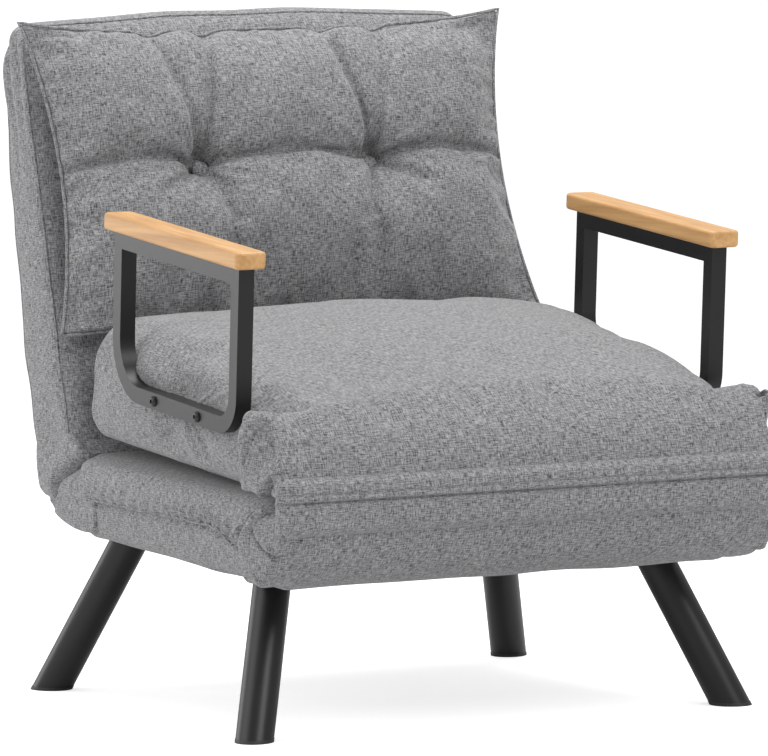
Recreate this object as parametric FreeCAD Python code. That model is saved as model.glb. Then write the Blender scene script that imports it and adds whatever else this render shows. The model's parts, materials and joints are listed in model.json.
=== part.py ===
import FreeCAD, Part
import math
import os

# Convertible chair bed: an upholstered chair whose seat flips forward and whose back
# reclines, so that seat, base and back lie in one line as a single bed.
# Millimetres. +X is the right-hand side seen from the front, +Y the rear, +Z up.
# The origin is on the floor, under the middle of the chair.

os.makedirs("parts", exist_ok=True)

Vector = FreeCAD.Vector

# Steel tube and plate
tube = 20.0
tube_wall = 1.5
plate = 4.0
plate_gap = 0.5
clearance = 0.5

# Room round pins and screws in their holes, and how far plates stop short of a rail's edge
close_fit = 0.1
loose_fit = 0.2
edge_margin = 1.0

# Fold axis between base and seat, at the front edge, and the slope of the folded seat
fold_y = -406.0
fold_z = 281.5
seat_tilt = 4.47

# Recline axis between base and back, and the lean of the upright back
recline_y = 200.0
recline_z = 285.0
back_lean = 12.0

# Base section
base_half_width = 307.0
base_front_half_width = 335.0
base_rail_bottom = 204.0
base_frame_half_width = 285.0
base_frame_front = 52.0
base_frame_rear_margin = 15.0
base_foam_top = 8.0
cavity_front = 50.0
foam_front = 54.0
foam_rear_margin = 4.0
base_bottom_front = 178.0
base_bottom_rear = 192.0
base_top_rise = 15.0
pad_end_gap = 3.0

# Seat section, measured from the fold axis along and square to the seat
seat_length = 592.0
seat_half_width = 303.0
seat_front_half_width = 335.0
seat_height = 131.0
seat_crown = 18.0
seat_foam_top = 100.0
seat_foam_front = 132.0
seat_rail_bottom = 60.7
seat_frame_front = 55.0
seat_frame_rear_margin = 24.0
seat_cavity_floor = 8.0
seat_cavity_rear_margin = 18.0
seat_foam_floor = 10.0
seat_foam_rear_margin = 22.0
seat_upper_foam_rear_margin = 44.0

# Back section, measured from the recline axis along and square to the back
back_height = 566.0
back_half_width = 314.0
back_depth = 116.0
back_front_offset = 7.0
back_crown = 15.0
back_arch = 12.0
back_rear_inset = 6.0
back_rail_depth = 78.0
back_rail_start = 20.0
back_frame_length = 470.0
back_foam_front = 26.0
back_cavity_front = 24.0
back_cavity_floor = 18.0
back_cavity_margin = 2.0

# Soft sections
pad_edge_round = 26.0
edge_draw = 0.8
edge_steps = 3
crown_steps = 3
sewn_gap = 0.3
foam_side_margin = 2.0

# Arm: a bent D-shaped loop of square tube with a wooden bar on top
arm_inner_x = 305.7
arm_start = 135.4
arm_length = 338.0
arm_height = 199.8
arm_front_radius = 46.0
arm_rear_radius = 74.0
wood_width = 39.7
wood_thickness = 20.3
wood_front_overhang = 15.0
wood_rear_overhang = 15.8
wood_round = 4.0
arm_bolt_front = 102.0
arm_bolt_spacing = 118.4
bolt_diameter = 8.0
bolt_head_diameter = 13.0
bolt_head_height = 4.2
hex_socket = 5.0
nut_diameter = 13.0
nut_height = 6.5
spacer_diameter = 16.0
wood_screw_diameter = 4.0
wood_screw_head = 8.0
wood_screw_bite = 14.0
wood_screw_inset = 42.0

# Legs
leg_diameter = 45.0
foot_x = 319.6
foot_front_y = -304.7
foot_rear_y = 260.7
leg_top_x = 248.3
leg_top_front_y = -219.1
leg_top_rear_y = 164.7
leg_plate_length = 68.0
leg_plate_inner = 34.0
leg_plate_rear = 17.0
leg_hole_room = 1.0
glide_height = 4.0
glide_lip = 0.4
stud_diameter = 10.0
stud_length_in_leg = 35.0

# Fold hinge
fold_eye_radius = 8.0
fold_pin_diameter = 7.0
fold_pin_head = 13.0
pin_head_height = 2.0
fold_leaf_reach = 60.0
fold_leaf_neck = 14.0
fold_leaf_step = 4.0
fold_leaf_rise = 10.0
leaf_slot_front = 20.0
leaf_slot_lip = 4.0
leaf_slot_mouth = 16.0
leaf_slot_far_side = 12.0
leaf_slot_end = 62.0
leaf_slot_room = 3.0

# Recline hinge with its ratchet
recline_eye_radius = 15.0
recline_pin_diameter = 10.0
recline_pin_head = 18.0
recline_plate_foot = 64.0
recline_plate_heel = 42.0
recline_arm_heel = 8.0
recline_arm_shoulder = 24.0
recline_arm_foot = 90.0
recline_arm_neck = 16.0
recline_slot_length = 34.0
recline_slot_height = 60.0
ratchet_tip_radius = 40.0
ratchet_root_radius = 35.0
ratchet_positions = 5
recline_travel = 78.0
ratchet_first_angle = -6.0
pawl_pivot_radius = 60.0
pawl_pivot_diameter = 6.0
pawl_tip_gap = 0.5
pawl_width = 14.0
pawl_boss = 10.0
pawl_tip_half = 1.5
pawl_nose = 9.0
pawl_tail = 12.0
pawl_tail_half = 4.0

# Fabric pieces that bridge the hinges
fabric = 2.5
front_roll_reach = 11.0
front_roll_height = 38.0
front_face_setback = 5.4
gusset_wall = 4.0
gusset_side_inset = 4.0
gusset_rise = 9.0
gusset_back_inset = 8.0
gusset_opening = 30.0
lobe_inset = 1.5
lobe_depth = 104.0
lobe_overlap = 30.0

# Pillow, measured along its own middle plane
pillow_height = 395.0
pillow_corner_half_width = 334.0
pillow_waist_half_width = 304.0
pillow_sag = 17.0
pillow_front_bulge = 62.0
pillow_rear_bulge = 24.8
pillow_base_up = 151.0
pillow_base_forward = 36.0
pillow_extra_lean = 4.5
tuft_x = 116.0
tuft_height = 203.0
tuft_depth = 27.0
tuft_radius = 62.0
button_radius = 11.0
button_height = 7.0
crease_depth = 11.0
crease_half_width = 30.0
crease_end_inset = 16.0
fan_spread = 34.0
fan_top_margin = 28.0
fan_start = 14.0
fan_low_side = 72.0
fan_low_drop = 40.0
fan_inner_side = 26.0
fan_inner_drop = 84.0
button_rim = 2.0
button_gap = 0.3
pillow_shares = (0.0, 0.03, 0.09, 0.2, 0.35, 0.5, 0.65, 0.8, 0.91, 0.97, 1.0)


# Geometry helpers

def box(x0, x1, y0, y1, z0, z1):
    return Part.makeBox(x1 - x0, y1 - y0, z1 - z0, Vector(x0, y0, z0))


def x_cylinder(radius, x0, x1, y, z):
    return Part.makeCylinder(radius, x1 - x0, Vector(x0, y, z), Vector(1, 0, 0))


def section(x, start, steps):
    """A closed wire at x. A step is an end point, or the middle and end of an arc."""
    edges = []
    here = start
    for step in steps:
        end = step[-1]
        a = Vector(x, here[0], here[1])
        b = Vector(x, end[0], end[1])
        if len(step) == 2:
            middle = Vector(x, step[0][0], step[0][1])
            edges.append(Part.Arc(a, middle, b).toShape())
        else:
            edges.append(Part.LineSegment(a, b).toShape())
        here = end
    return Part.Wire(edges)


def extruded(x0, x1, start, steps):
    """A section pulled from x0 to x1."""
    face = Part.Face(section(x0, start, steps))
    return face.extrude(Vector(x1 - x0, 0, 0))


def shrink(start, steps, centre, inset, size):
    """The same outline drawn in by an inset on every side of its size."""
    ky = 1 - 2 * inset / size[0]
    kz = 1 - 2 * inset / size[1]

    def pull(p):
        return (centre[0] + (p[0] - centre[0]) * ky, centre[1] + (p[1] - centre[1]) * kz)

    return pull(start), [tuple(pull(p) for p in step) for step in steps]


def middle_and_size(start, steps):
    ys = [start[0]] + [step[-1][0] for step in steps]
    zs = [start[1]] + [step[-1][1] for step in steps]
    centre = ((min(ys) + max(ys)) / 2, (min(zs) + max(zs)) / 2)
    return centre, (max(ys) - min(ys), max(zs) - min(zs))


def edge_stations(x_start, x_end):
    """Places along x, and the inset there, that round a pad's side as stuffing does."""
    stations = []
    reach = x_end - x_start
    for i in range(1, edge_steps + 1):
        angle = i / edge_steps * math.pi / 2
        stations.append((x_start + reach * math.sin(angle), edge_draw * abs(reach) * (1 - math.cos(angle))))
    return stations


def drawn_in(outline, x, inset):
    """The outline's section at x, drawn in on every side."""
    start, steps = outline(0.0)
    centre, size = middle_and_size(start, steps)
    return section(x, *shrink(start, steps, centre, inset, size))


def crowned_pad(outline, half_width):
    """A pad with its highest line in the middle and stuffed sides."""
    x = half_width - pad_edge_round
    ends = edge_stations(x, half_width)
    wires = [drawn_in(outline, -end, inset) for end, inset in reversed(ends)]
    for i in range(-crown_steps, crown_steps + 1):
        share = i / crown_steps
        wires.append(section(x * share, *outline(math.cos(share * math.pi / 2))))
    wires += [drawn_in(outline, end, inset) for end, inset in ends]
    return Part.makeLoft(wires, True, True)


def both_sides(shape):
    """The shape and its mirror image on the other side of the chair."""
    return shape.fuse(shape.mirror(Vector(0, 0, 0), Vector(1, 0, 0)))


def mirrored(shape):
    return shape.mirror(Vector(0, 0, 0), Vector(1, 0, 0))


def placed(shape, angle, y, z):
    """Turned about X through the local origin, then moved to y and z."""
    moved = shape.copy()
    moved.rotate(Vector(0, 0, 0), Vector(1, 0, 0), angle)
    moved.translate(Vector(0, y, z))
    return moved


def to_base(shape):
    return placed(shape, 0.0, fold_y, fold_z)


def to_seat(shape):
    return placed(shape, seat_tilt, fold_y, fold_z)


def to_back(shape):
    return placed(shape, -back_lean, recline_y, recline_z)


def to_pillow(shape):
    inner = placed(shape, -pillow_extra_lean, -pillow_base_forward, pillow_base_up)
    return to_back(inner)


def from_back(t, s):
    """World y and z of a point t behind and s above the recline axis, along the back."""
    lean = math.radians(back_lean)
    y = recline_y + t * math.cos(lean) + s * math.sin(lean)
    z = recline_z - t * math.sin(lean) + s * math.cos(lean)
    return y, z


def rect_tube(x0, x1, y0, y1, z0, z1, along):
    """A square tube along one axis, open at both ends."""
    lows = [x0, y0, z0]
    highs = [x1, y1, z1]
    inner_low = [v if "xyz"[i] == along else v + tube_wall for i, v in enumerate(lows)]
    inner_high = [v if "xyz"[i] == along else v - tube_wall for i, v in enumerate(highs)]
    outer = box(lows[0], highs[0], lows[1], highs[1], lows[2], highs[2])
    bore = box(inner_low[0], inner_high[0], inner_low[1], inner_high[1], inner_low[2], inner_high[2])
    return outer.cut(bore)


def welded_frame(half_width, long_start, long_end, low, cross_at, along):
    """Two side rails and cross tubes between them. The rails run along Y or Z."""
    shapes = []
    inner = half_width - tube
    for sign in (-1, 1):
        x0 = min(sign * half_width, sign * inner)
        if along == "y":
            shapes.append(rect_tube(x0, x0 + tube, long_start, long_end, low, low + tube, "y"))
        else:
            shapes.append(rect_tube(x0, x0 + tube, low, low + tube, long_start, long_end, "z"))
    for at in cross_at:
        if along == "y":
            shapes.append(rect_tube(-inner, inner, at, at + tube, low, low + tube, "x"))
        else:
            shapes.append(rect_tube(-inner, inner, low, low + tube, at, at + tube, "x"))
    return shapes[0].multiFuse(shapes[1:])


# Sizes that follow from the driving ones

base_length = recline_y - pad_end_gap - fold_y
base_rail_low = base_rail_bottom - fold_z
base_frame_rear = base_length - base_frame_rear_margin
seat_frame_rear = seat_length - seat_frame_rear_margin
outer_frame_half_width = base_frame_half_width + plate + plate_gap
inner_leaf_x = base_frame_half_width
outer_leaf_x = outer_frame_half_width
outer_leaf_end = outer_leaf_x + plate
slot_x0 = base_frame_half_width - pin_head_height - clearance
slot_x1 = outer_leaf_end + pin_head_height + clearance
cavity_half_width = outer_leaf_end + 1.0
foam_half_width = base_frame_half_width - pin_head_height - foam_side_margin
arm_outer_x = arm_inner_x + tube
arm_middle_x = arm_inner_x + tube / 2
arm_top = seat_rail_bottom + arm_height
bolt_w = seat_rail_bottom + tube / 2
bolt_us = (arm_start + arm_bolt_front, arm_start + arm_bolt_front + arm_bolt_spacing)
screw_us = (arm_start + wood_screw_inset, arm_start + arm_length - wood_screw_inset)
leg_plate_z = base_rail_bottom - plate


# Base section: the fixed part, on four splayed legs

def base_outline(crown):
    """Side outline of the base pad, from the fold axis. The crown hardly shows below the seat."""
    low_front = base_bottom_front - fold_z
    low_rear = base_bottom_rear - fold_z
    top = base_top_rise + 2.0 * crown
    end = base_length
    start = (2.0, -4.0)
    steps = [
        ((5.0, -36.0), (20.0, -64.0)),
        ((42.0, -87.0), (84.0, low_front)),
        ((end - 8.0, low_rear),),
        ((end - 2.4, low_rear + 2.4), (end, low_rear + 8.0)),
        ((end, top - 22.0),),
        ((end - 7.0, top - 6.5), (end - 22.0, top),),
        ((140.0, 2.0 + 2.0 * crown),),
        ((16.0, -2.0),),
        ((6.0, -1.0), (2.0, -4.0)),
    ]
    return start, steps


def roll_outline(sign, height, depth):
    """The stuffed front lobe, above the fold axis for the seat and below it for the base.

    It lies a little inside the pad's own front face and shows only past the pad's side.
    """
    e = lobe_inset
    start = (2.0 + e, sign * (4.0 + e))
    steps = [
        ((5.0 + e, sign * 36.0), (20.0 + e, sign * (64.0 - e))),
        ((38.0 + e, sign * (84.0 - e)), (66.0, sign * (height - e))),
        ((depth - 6.0, sign * (height - 8.0)),),
        ((depth, sign * height / 2), (depth - 6.0, sign * 12.0)),
        (start,),
    ]
    return start, steps


def roll_lobes(sign, height, half_width):
    """The bulging ends of the front roll, at both sides."""
    inner = base_frame_half_width - lobe_overlap

    def outline(_):
        return roll_outline(sign, height, lobe_depth)

    x = half_width - pad_edge_round
    wires = [section(inner, *outline(0)), section(x, *outline(0))]
    wires += [drawn_in(outline, end, inset) for end, inset in edge_stations(x, half_width)]
    return both_sides(Part.makeLoft(wires, True, True))


def leaf_slot(sign, far):
    """The slot that a fold leaf passes through, from the front edge to its rail."""
    near = -leaf_slot_far_side * sign
    mouth = leaf_slot_mouth * sign
    far = far + leaf_slot_room * sign
    start = (-leaf_slot_front, near)
    corners = [(-leaf_slot_front, mouth), (-leaf_slot_lip, mouth), (leaf_slot_end - fold_leaf_rise, far),
               (leaf_slot_end, far), (leaf_slot_end, near), start]
    return extruded(slot_x0, slot_x1, start, [(corner,) for corner in corners])


def leg_axis(x_sign, front):
    """Foot and top of a leg's axis, at floor level and at the leg plate."""
    foot_y = foot_front_y if front else foot_rear_y
    top_y = leg_top_front_y if front else leg_top_rear_y
    foot = Vector(x_sign * foot_x, foot_y, 0)
    top = Vector(x_sign * leg_top_x, top_y, leg_plate_z)
    return foot, top


def leg_rod(x_sign, front, radius, z_low, z_high):
    """A round rod along the leg's axis, cut level at both ends."""
    foot, top = leg_axis(x_sign, front)
    direction = top.sub(foot)
    direction.normalize()
    spare = 2 * leg_diameter
    start = foot.sub(direction * spare)
    length = top.sub(foot).Length + 2 * spare
    rod = Part.makeCylinder(radius, length, start, direction)
    reach = 500.0
    window = box(-reach, reach, -reach, reach, z_low, z_high)
    return rod.common(window)


legs = {
    "front_left": (-1, True),
    "front_right": (1, True),
    "rear_left": (-1, False),
    "rear_right": (1, False),
}


def base_cover():
    """The base's padded cover, hollow for foam and frame, with holes for legs and hinges."""
    pad = crowned_pad(base_outline, base_half_width)
    pad = pad.fuse(roll_lobes(-1, fold_z - base_bottom_front - 4.0, base_front_half_width))
    low = leg_plate_z - fold_z - clearance
    half = cavity_half_width
    cavity_rear = base_frame_rear + clearance
    pad = pad.cut(box(-half, half, cavity_front, cavity_rear, low, sewn_gap - base_foam_top))
    front_slot = leaf_slot(-1, base_rail_low)
    rear_slot = box(slot_x0, slot_x1, base_length - recline_slot_length, base_length + 1.0,
                    low, base_top_rise + 5.0)
    pad = pad.cut(both_sides(front_slot.fuse(rear_slot)))
    pad = to_base(pad)
    radius = leg_diameter / 2 + leg_hole_room
    for x_sign, front in legs.values():
        hole = leg_rod(x_sign, front, radius, base_bottom_front - tube, leg_plate_z + loose_fit)
        pad = pad.cut(hole)
    return pad


def base_foam():
    low = base_rail_low + tube + sewn_gap
    rear = base_frame_rear - foam_rear_margin
    return to_base(box(-foam_half_width, foam_half_width, foam_front, rear, low, -base_foam_top))


def base_frame():
    """Welded frame of square tube: two rails, two end tubes and three cross tubes."""
    first = base_frame_front
    last = base_frame_rear - tube
    steps = 4
    cross_at = [first + (last - first) * i / steps for i in range(steps + 1)]
    frame = welded_frame(base_frame_half_width, first, base_frame_rear, base_rail_low, cross_at, "y")
    return to_base(frame)


def leg_plates():
    """Plates under the corners of the frame, which the legs screw into."""
    plates = []
    for x_sign, front in legs.values():
        _, top = leg_axis(x_sign, front)
        inner = top.x - x_sign * leg_plate_inner
        outer = x_sign * base_frame_half_width
        rear = top.y + leg_plate_rear
        front_edge = rear - leg_plate_length
        body = box(min(inner, outer), max(inner, outer), front_edge, rear, leg_plate_z, base_rail_bottom)
        plates.append(body.cut(leg_stud(x_sign, front, loose_fit)))
    return Part.makeCompound(plates)


def leg_stud(x_sign, front, gap):
    """The threaded stud that joins a leg to its plate."""
    low = leg_plate_z - stud_length_in_leg - gap
    high = base_rail_bottom
    return leg_rod(x_sign, front, stud_diameter / 2 + gap, low, high)


def leg(x_sign, front):
    rod = leg_rod(x_sign, front, leg_diameter / 2, glide_height, leg_plate_z - close_fit)
    return rod.cut(leg_stud(x_sign, front, loose_fit))


def glide(x_sign, front):
    """A plastic foot, a little wider than the leg."""
    return leg_rod(x_sign, front, leg_diameter / 2 + glide_lip, 0.0, glide_height)


# Fold hinge at each side of the front edge

def link_plate(x0, eye_radius, hole_radius, reach_points):
    """A flat plate with a round eye at the local origin and a foot of given corners."""
    eye = x_cylinder(eye_radius, x0, x0 + plate, 0.0, 0.0)
    start = reach_points[0]
    foot = extruded(x0, x0 + plate, start, [(p,) for p in reach_points[1:]] + [(start,)])
    body = eye.fuse(foot)
    return body.cut(x_cylinder(hole_radius, x0 - 1, x0 + plate + 1, 0.0, 0.0)).removeSplitter()


def fold_leaf_base():
    """From the fold axis down to the base rail, on the rail's outer face."""
    r = fold_eye_radius
    low = base_rail_low + edge_margin
    high = base_rail_low + tube
    near = base_frame_front
    far = near + fold_leaf_reach
    points = [(-0.7 * r, -0.7 * r), (near + fold_leaf_step, low), (far, low), (far, high - edge_margin),
              (near + fold_leaf_neck, high + fold_leaf_rise), (0.7 * r, 0.7 * r)]
    return to_base(link_plate(inner_leaf_x, r, fold_pin_diameter / 2 + close_fit, points))


def fold_leaf_seat():
    """From the fold axis up to the seat rail, on the rail's outer face."""
    r = fold_eye_radius
    low = seat_rail_bottom
    high = low + tube - edge_margin
    near = seat_frame_front
    far = near + fold_leaf_reach
    points = [(-0.7 * r, 0.7 * r), (0.7 * r, -0.7 * r), (near + fold_leaf_neck, low - fold_leaf_rise),
              (far, low + edge_margin), (far, high), (near + fold_leaf_step, high)]
    return to_seat(link_plate(outer_leaf_x, r, fold_pin_diameter / 2 + close_fit, points))


def rivet(radius, head_radius, x0, x1):
    """A pin along X from x0 to x1 with a low head at each end."""
    pin = x_cylinder(radius, x0, x1, 0.0, 0.0)
    inner_head = x_cylinder(head_radius, x0 - pin_head_height, x0, 0.0, 0.0)
    outer_head = x_cylinder(head_radius, x1, x1 + pin_head_height, 0.0, 0.0)
    return pin.multiFuse([inner_head, outer_head]).removeSplitter()


def fold_pin():
    return to_base(rivet(fold_pin_diameter / 2, fold_pin_head / 2, inner_leaf_x, outer_leaf_end))


# Recline hinge: a toothed plate on the base and an arm with a pawl on the back

def polar(radius, degrees):
    a = math.radians(degrees)
    return (radius * math.cos(a), radius * math.sin(a))


def recline_plate():
    """The fixed plate, with a ratchet sector of one notch per position behind the axis."""
    pitch = recline_travel / (ratchet_positions - 1)
    points = [polar(ratchet_root_radius, ratchet_first_angle + pitch / 2)]
    for i in range(ratchet_positions):
        centre = ratchet_first_angle - i * pitch
        points.append(polar(ratchet_tip_radius, centre + pitch * 0.36))
        points.append(polar(ratchet_root_radius, centre + pitch * 0.10))
        points.append(polar(ratchet_root_radius, centre - pitch * 0.14))
        points.append(polar(ratchet_tip_radius, centre - pitch * 0.30))
    low = base_rail_bottom - recline_z
    rear = fold_y + base_frame_rear - recline_y - 2 * edge_margin
    foot = rear - recline_plate_foot
    r = recline_eye_radius
    points += [(rear, low + recline_plate_heel), (rear, low + edge_margin), (foot, low + edge_margin),
               (foot, low + tube - edge_margin), (-0.93 * r, -0.27 * r), (0.0, 0.8 * r)]
    body = link_plate(inner_leaf_x, r, recline_pin_diameter / 2 + close_fit, points)
    return placed(body, 0.0, recline_y, recline_z)


def recline_arm():
    """The moving plate, from the axis to the back's rail, which also carries the pawl."""
    r = recline_eye_radius
    near = back_rail_depth + edge_margin
    far = back_rail_depth + tube - edge_margin
    foot = back_rail_start + recline_arm_foot
    t, s = pawl_pivot()
    points = [(-0.67 * r, 0.67 * r), (-0.27 * r, -0.93 * r), (t, s - pawl_boss),
              (t + 1.2 * pawl_boss, s - 0.8 * pawl_boss), (far, back_rail_start + recline_arm_heel),
              (far, foot), (near, foot),
              (back_rail_depth - recline_arm_neck, back_rail_start + recline_arm_shoulder)]
    body = link_plate(outer_leaf_x, r, recline_pin_diameter / 2 + close_fit, points)
    hole = x_cylinder(pawl_pivot_diameter / 2 + close_fit, outer_leaf_x - 1, outer_leaf_end + 1, t, s)
    return to_back(body.cut(hole))


def pawl_pivot():
    """The pawl's pivot in the back's own axes, t behind and s above the recline axis."""
    return polar(pawl_pivot_radius, ratchet_first_angle + back_lean)


def pawl():
    """A spring pawl, drawn lifted clear of the tooth tips, as when it clicks over them."""
    pivot = pawl_pivot_radius
    tip = ratchet_tip_radius + pawl_tip_gap
    nose = tip + pawl_nose
    tail = pivot + pawl_tail
    half = pawl_width / 2
    start = (tip, -pawl_tip_half)
    corners = [(tip, pawl_tip_half), (nose, half - edge_margin), (pivot, half), (tail, pawl_tail_half),
               (tail, -pawl_tail_half), (pivot, -half), (nose, edge_margin - half), start]
    body = extruded(inner_leaf_x, inner_leaf_x + plate, start, [(corner,) for corner in corners])
    hole_radius = pawl_pivot_diameter / 2 + close_fit
    body = body.cut(x_cylinder(hole_radius, inner_leaf_x - 1, inner_leaf_x + plate + 1, pivot, 0.0))
    body.rotate(Vector(0, 0, 0), Vector(1, 0, 0), ratchet_first_angle + back_lean)
    return to_back(body)


def pawl_rivet():
    t, s = pawl_pivot()
    shape = rivet(pawl_pivot_diameter / 2, pawl_pivot_diameter - 1.0, inner_leaf_x, outer_leaf_end)
    shape.translate(Vector(0, t, s))
    return to_back(shape)


def recline_pin():
    shape = rivet(recline_pin_diameter / 2, recline_pin_head / 2, inner_leaf_x, outer_leaf_end)
    return placed(shape, 0.0, recline_y, recline_z)


# Fabric that bridges the two hinges

def front_roll():
    """The band of cover fabric that joins seat and base over the fold hinge."""
    tilt = math.radians(seat_tilt)
    high = front_roll_height
    reach = front_roll_reach
    low_y = front_face_setback - clearance
    top_y = front_face_setback * math.cos(tilt) - high * math.sin(tilt) - clearance
    start = (top_y, high)
    steps = [
        ((fabric - reach, 0.0), (low_y, -high)),
        ((low_y - fabric, -high),),
        ((-reach, 0.0), (top_y - fabric, high)),
        (start,),
    ]
    half = base_front_half_width - pad_edge_round
    return to_base(extruded(-half, half, start, steps))


def corner_gusset():
    """The loose fabric at the rear corner, open towards the base and towards the back."""
    base_end = recline_y - pad_end_gap + sewn_gap
    low = base_bottom_rear + gusset_rise
    back_end = pad_end_gap - sewn_gap
    top_y, top_z = from_back(back_depth - gusset_back_inset, back_end)
    inner_y, inner_z = from_back(recline_eye_radius - edge_margin, back_end)

    def outline(inset, lift):
        start = (base_end, recline_z - 16.0 + lift)
        steps = [
            ((base_end, low + inset),),
            ((base_end + 62.0, low + 14.0 + inset), (top_y - 16.0, low + 40.0 + inset)),
            ((top_y - 5.0 - inset * 0.4, top_z - 18.0), (top_y - inset, top_z)),
            ((inner_y, inner_z + lift),),
            (start,),
        ]
        if lift:
            steps.insert(3, ((top_y - inset, top_z + lift),))
        return start, steps

    half = base_half_width - gusset_side_inset
    body = extruded(-half, half, *outline(0.0, 0.0))
    inner_half = half - gusset_wall
    return body.cut(extruded(-inner_half, inner_half, *outline(gusset_wall, gusset_opening)))


# Seat section: flips forward about the fold axis and stands on its arms as the foot of the bed

def seat_outline(crown):
    """Side outline of the seat pad, from the fold axis along the tilted seat."""
    rise = seat_crown * crown
    top = seat_height
    end = seat_length
    start = (2.0, 4.0)
    steps = [
        ((5.0, 36.0), (20.0, 65.0)),
        ((38.0, 85.0), (66.0, 97.0 + 0.4 * rise)),
        ((240.0, 123.0 + rise), (end - 46.0, top + 0.8 * rise)),
        ((end - 12.0, top - 9.0 + 0.6 * rise), (end, top - 42.0)),
        ((end, 26.0),),
        ((end - 9.0, 1.0), (end - 34.0, -9.0)),
        ((140.0, -4.0),),
        ((16.0, 2.0),),
        ((6.0, 1.0), (2.0, 4.0)),
    ]
    return start, steps


def seat_cover():
    """The seat's padded cover, soft on both faces, with slots for hinges and arm bolts."""
    pad = crowned_pad(seat_outline, seat_half_width)
    pad = pad.fuse(roll_lobes(1, 97.0, seat_front_half_width))
    frame_top = seat_rail_bottom + tube + leaf_slot_room
    lower = box(-cavity_half_width, cavity_half_width, cavity_front, seat_length - seat_cavity_rear_margin,
                seat_cavity_floor, frame_top)
    upper = box(-foam_half_width, foam_half_width, seat_foam_front - foam_rear_margin,
                seat_length - seat_upper_foam_rear_margin + foam_rear_margin,
                frame_top - edge_margin, seat_foam_top + sewn_gap)
    slot = leaf_slot(1, seat_rail_bottom + tube)
    pad = pad.cut(lower.fuse(upper)).cut(both_sides(slot))
    hole_radius = spacer_diameter / 2 + clearance
    for u in bolt_us:
        hole = x_cylinder(hole_radius, outer_leaf_x - edge_margin, arm_outer_x, u, bolt_w)
        pad = pad.cut(both_sides(hole))
    return to_seat(pad)


def seat_foam_lower():
    """The block under the frame."""
    half = foam_half_width
    rear = seat_length - seat_foam_rear_margin
    top = seat_rail_bottom - sewn_gap
    return to_seat(box(-half, half, foam_front, rear, seat_foam_floor, top))


def seat_foam_upper():
    """The block that is sat on, above the frame."""
    half = foam_half_width - sewn_gap
    rear = seat_length - seat_upper_foam_rear_margin
    low = seat_rail_bottom + tube + sewn_gap
    return to_seat(box(-half, half, seat_foam_front, rear, low, seat_foam_top))


def seat_frame():
    """Welded frame of square tube, drilled for the arm bolts."""
    first = seat_frame_front
    last = seat_frame_rear - tube
    steps = 4
    cross_at = [first + (last - first) * i / steps for i in range(steps + 1)]
    frame = welded_frame(outer_frame_half_width, first, seat_frame_rear, seat_rail_bottom, cross_at, "y")
    for u in bolt_us:
        reach = outer_frame_half_width + 5.0
        frame = frame.cut(x_cylinder(bolt_diameter / 2 + loose_fit, -reach, reach, u, bolt_w))
    return to_seat(frame)


def loop_outline(inset):
    """The D-shaped loop: square corners at the top, large bends at the bottom."""
    u0 = arm_start + inset
    u1 = arm_start + arm_length - inset
    w0 = seat_rail_bottom + inset
    w1 = arm_top - inset
    rf = arm_front_radius - inset
    rr = arm_rear_radius - inset
    k = math.sqrt(0.5)
    start = (u0, w1)
    steps = [
        ((u0, w0 + rf),),
        ((u0 + rf - rf * k, w0 + rf - rf * k), (u0 + rf, w0)),
        ((u1 - rr, w0),),
        ((u1 - rr + rr * k, w0 + rr - rr * k), (u1, w0 + rr)),
        ((u1, w1),),
        (start,),
    ]
    return start, steps


def arm_loop():
    """The bent and mitred square tube, drilled for two bolts and two wood screws."""
    ring = extruded(arm_inner_x, arm_outer_x, *loop_outline(0.0))
    ring = ring.cut(extruded(arm_inner_x, arm_outer_x, *loop_outline(tube)))
    bore = extruded(arm_inner_x + tube_wall, arm_outer_x - tube_wall, *loop_outline(tube_wall))
    bore = bore.cut(extruded(arm_inner_x, arm_outer_x, *loop_outline(tube - tube_wall)))
    ring = ring.cut(bore)
    bolt_hole_radius = bolt_diameter / 2 + loose_fit
    for u in bolt_us:
        ring = ring.cut(x_cylinder(bolt_hole_radius, arm_inner_x - 1, arm_outer_x + 1, u, bolt_w))
    for u in screw_us:
        ring = ring.cut(wood_screw(u, loose_fit))
    return to_seat(ring)


def arm_bar():
    """The wooden bar, with rounded edges and blind screw holes under it."""
    x0 = arm_middle_x - wood_width / 2
    length = arm_length + wood_front_overhang + wood_rear_overhang
    u0 = arm_start - wood_front_overhang
    bar = Part.makeBox(wood_width, length, wood_thickness, Vector(x0, u0, arm_top))
    upright = [e for e in bar.Edges if abs(e.tangentAt(e.FirstParameter).z) > 0.99]
    bar = bar.makeFillet(2 * wood_round, upright)
    rims = [e for e in bar.Edges if abs(e.tangentAt(e.FirstParameter).z) < 0.01]
    bar = bar.makeFillet(wood_round, rims)
    for u in screw_us:
        bar = bar.cut(wood_screw(u, loose_fit))
    return to_seat(bar)


def wood_screw(u, gap):
    """A screw up through the loop's top run into the wooden bar."""
    low = arm_top - tube - 2.0
    shank = Part.makeCylinder(wood_screw_diameter / 2 + gap, tube + 2.0 + wood_screw_bite + gap,
                              Vector(arm_middle_x, u, low), Vector(0, 0, 1))
    if gap:
        return shank
    head = Part.makeCylinder(wood_screw_head / 2, 2.0, Vector(arm_middle_x, u, low), Vector(0, 0, 1))
    return shank.fuse(head).removeSplitter()


def wood_screws():
    screws = []
    for u in screw_us:
        screws.append(wood_screw(u, 0.0))
        screws.append(mirrored(wood_screw(u, 0.0)))
    return to_seat(Part.makeCompound(screws))


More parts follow.
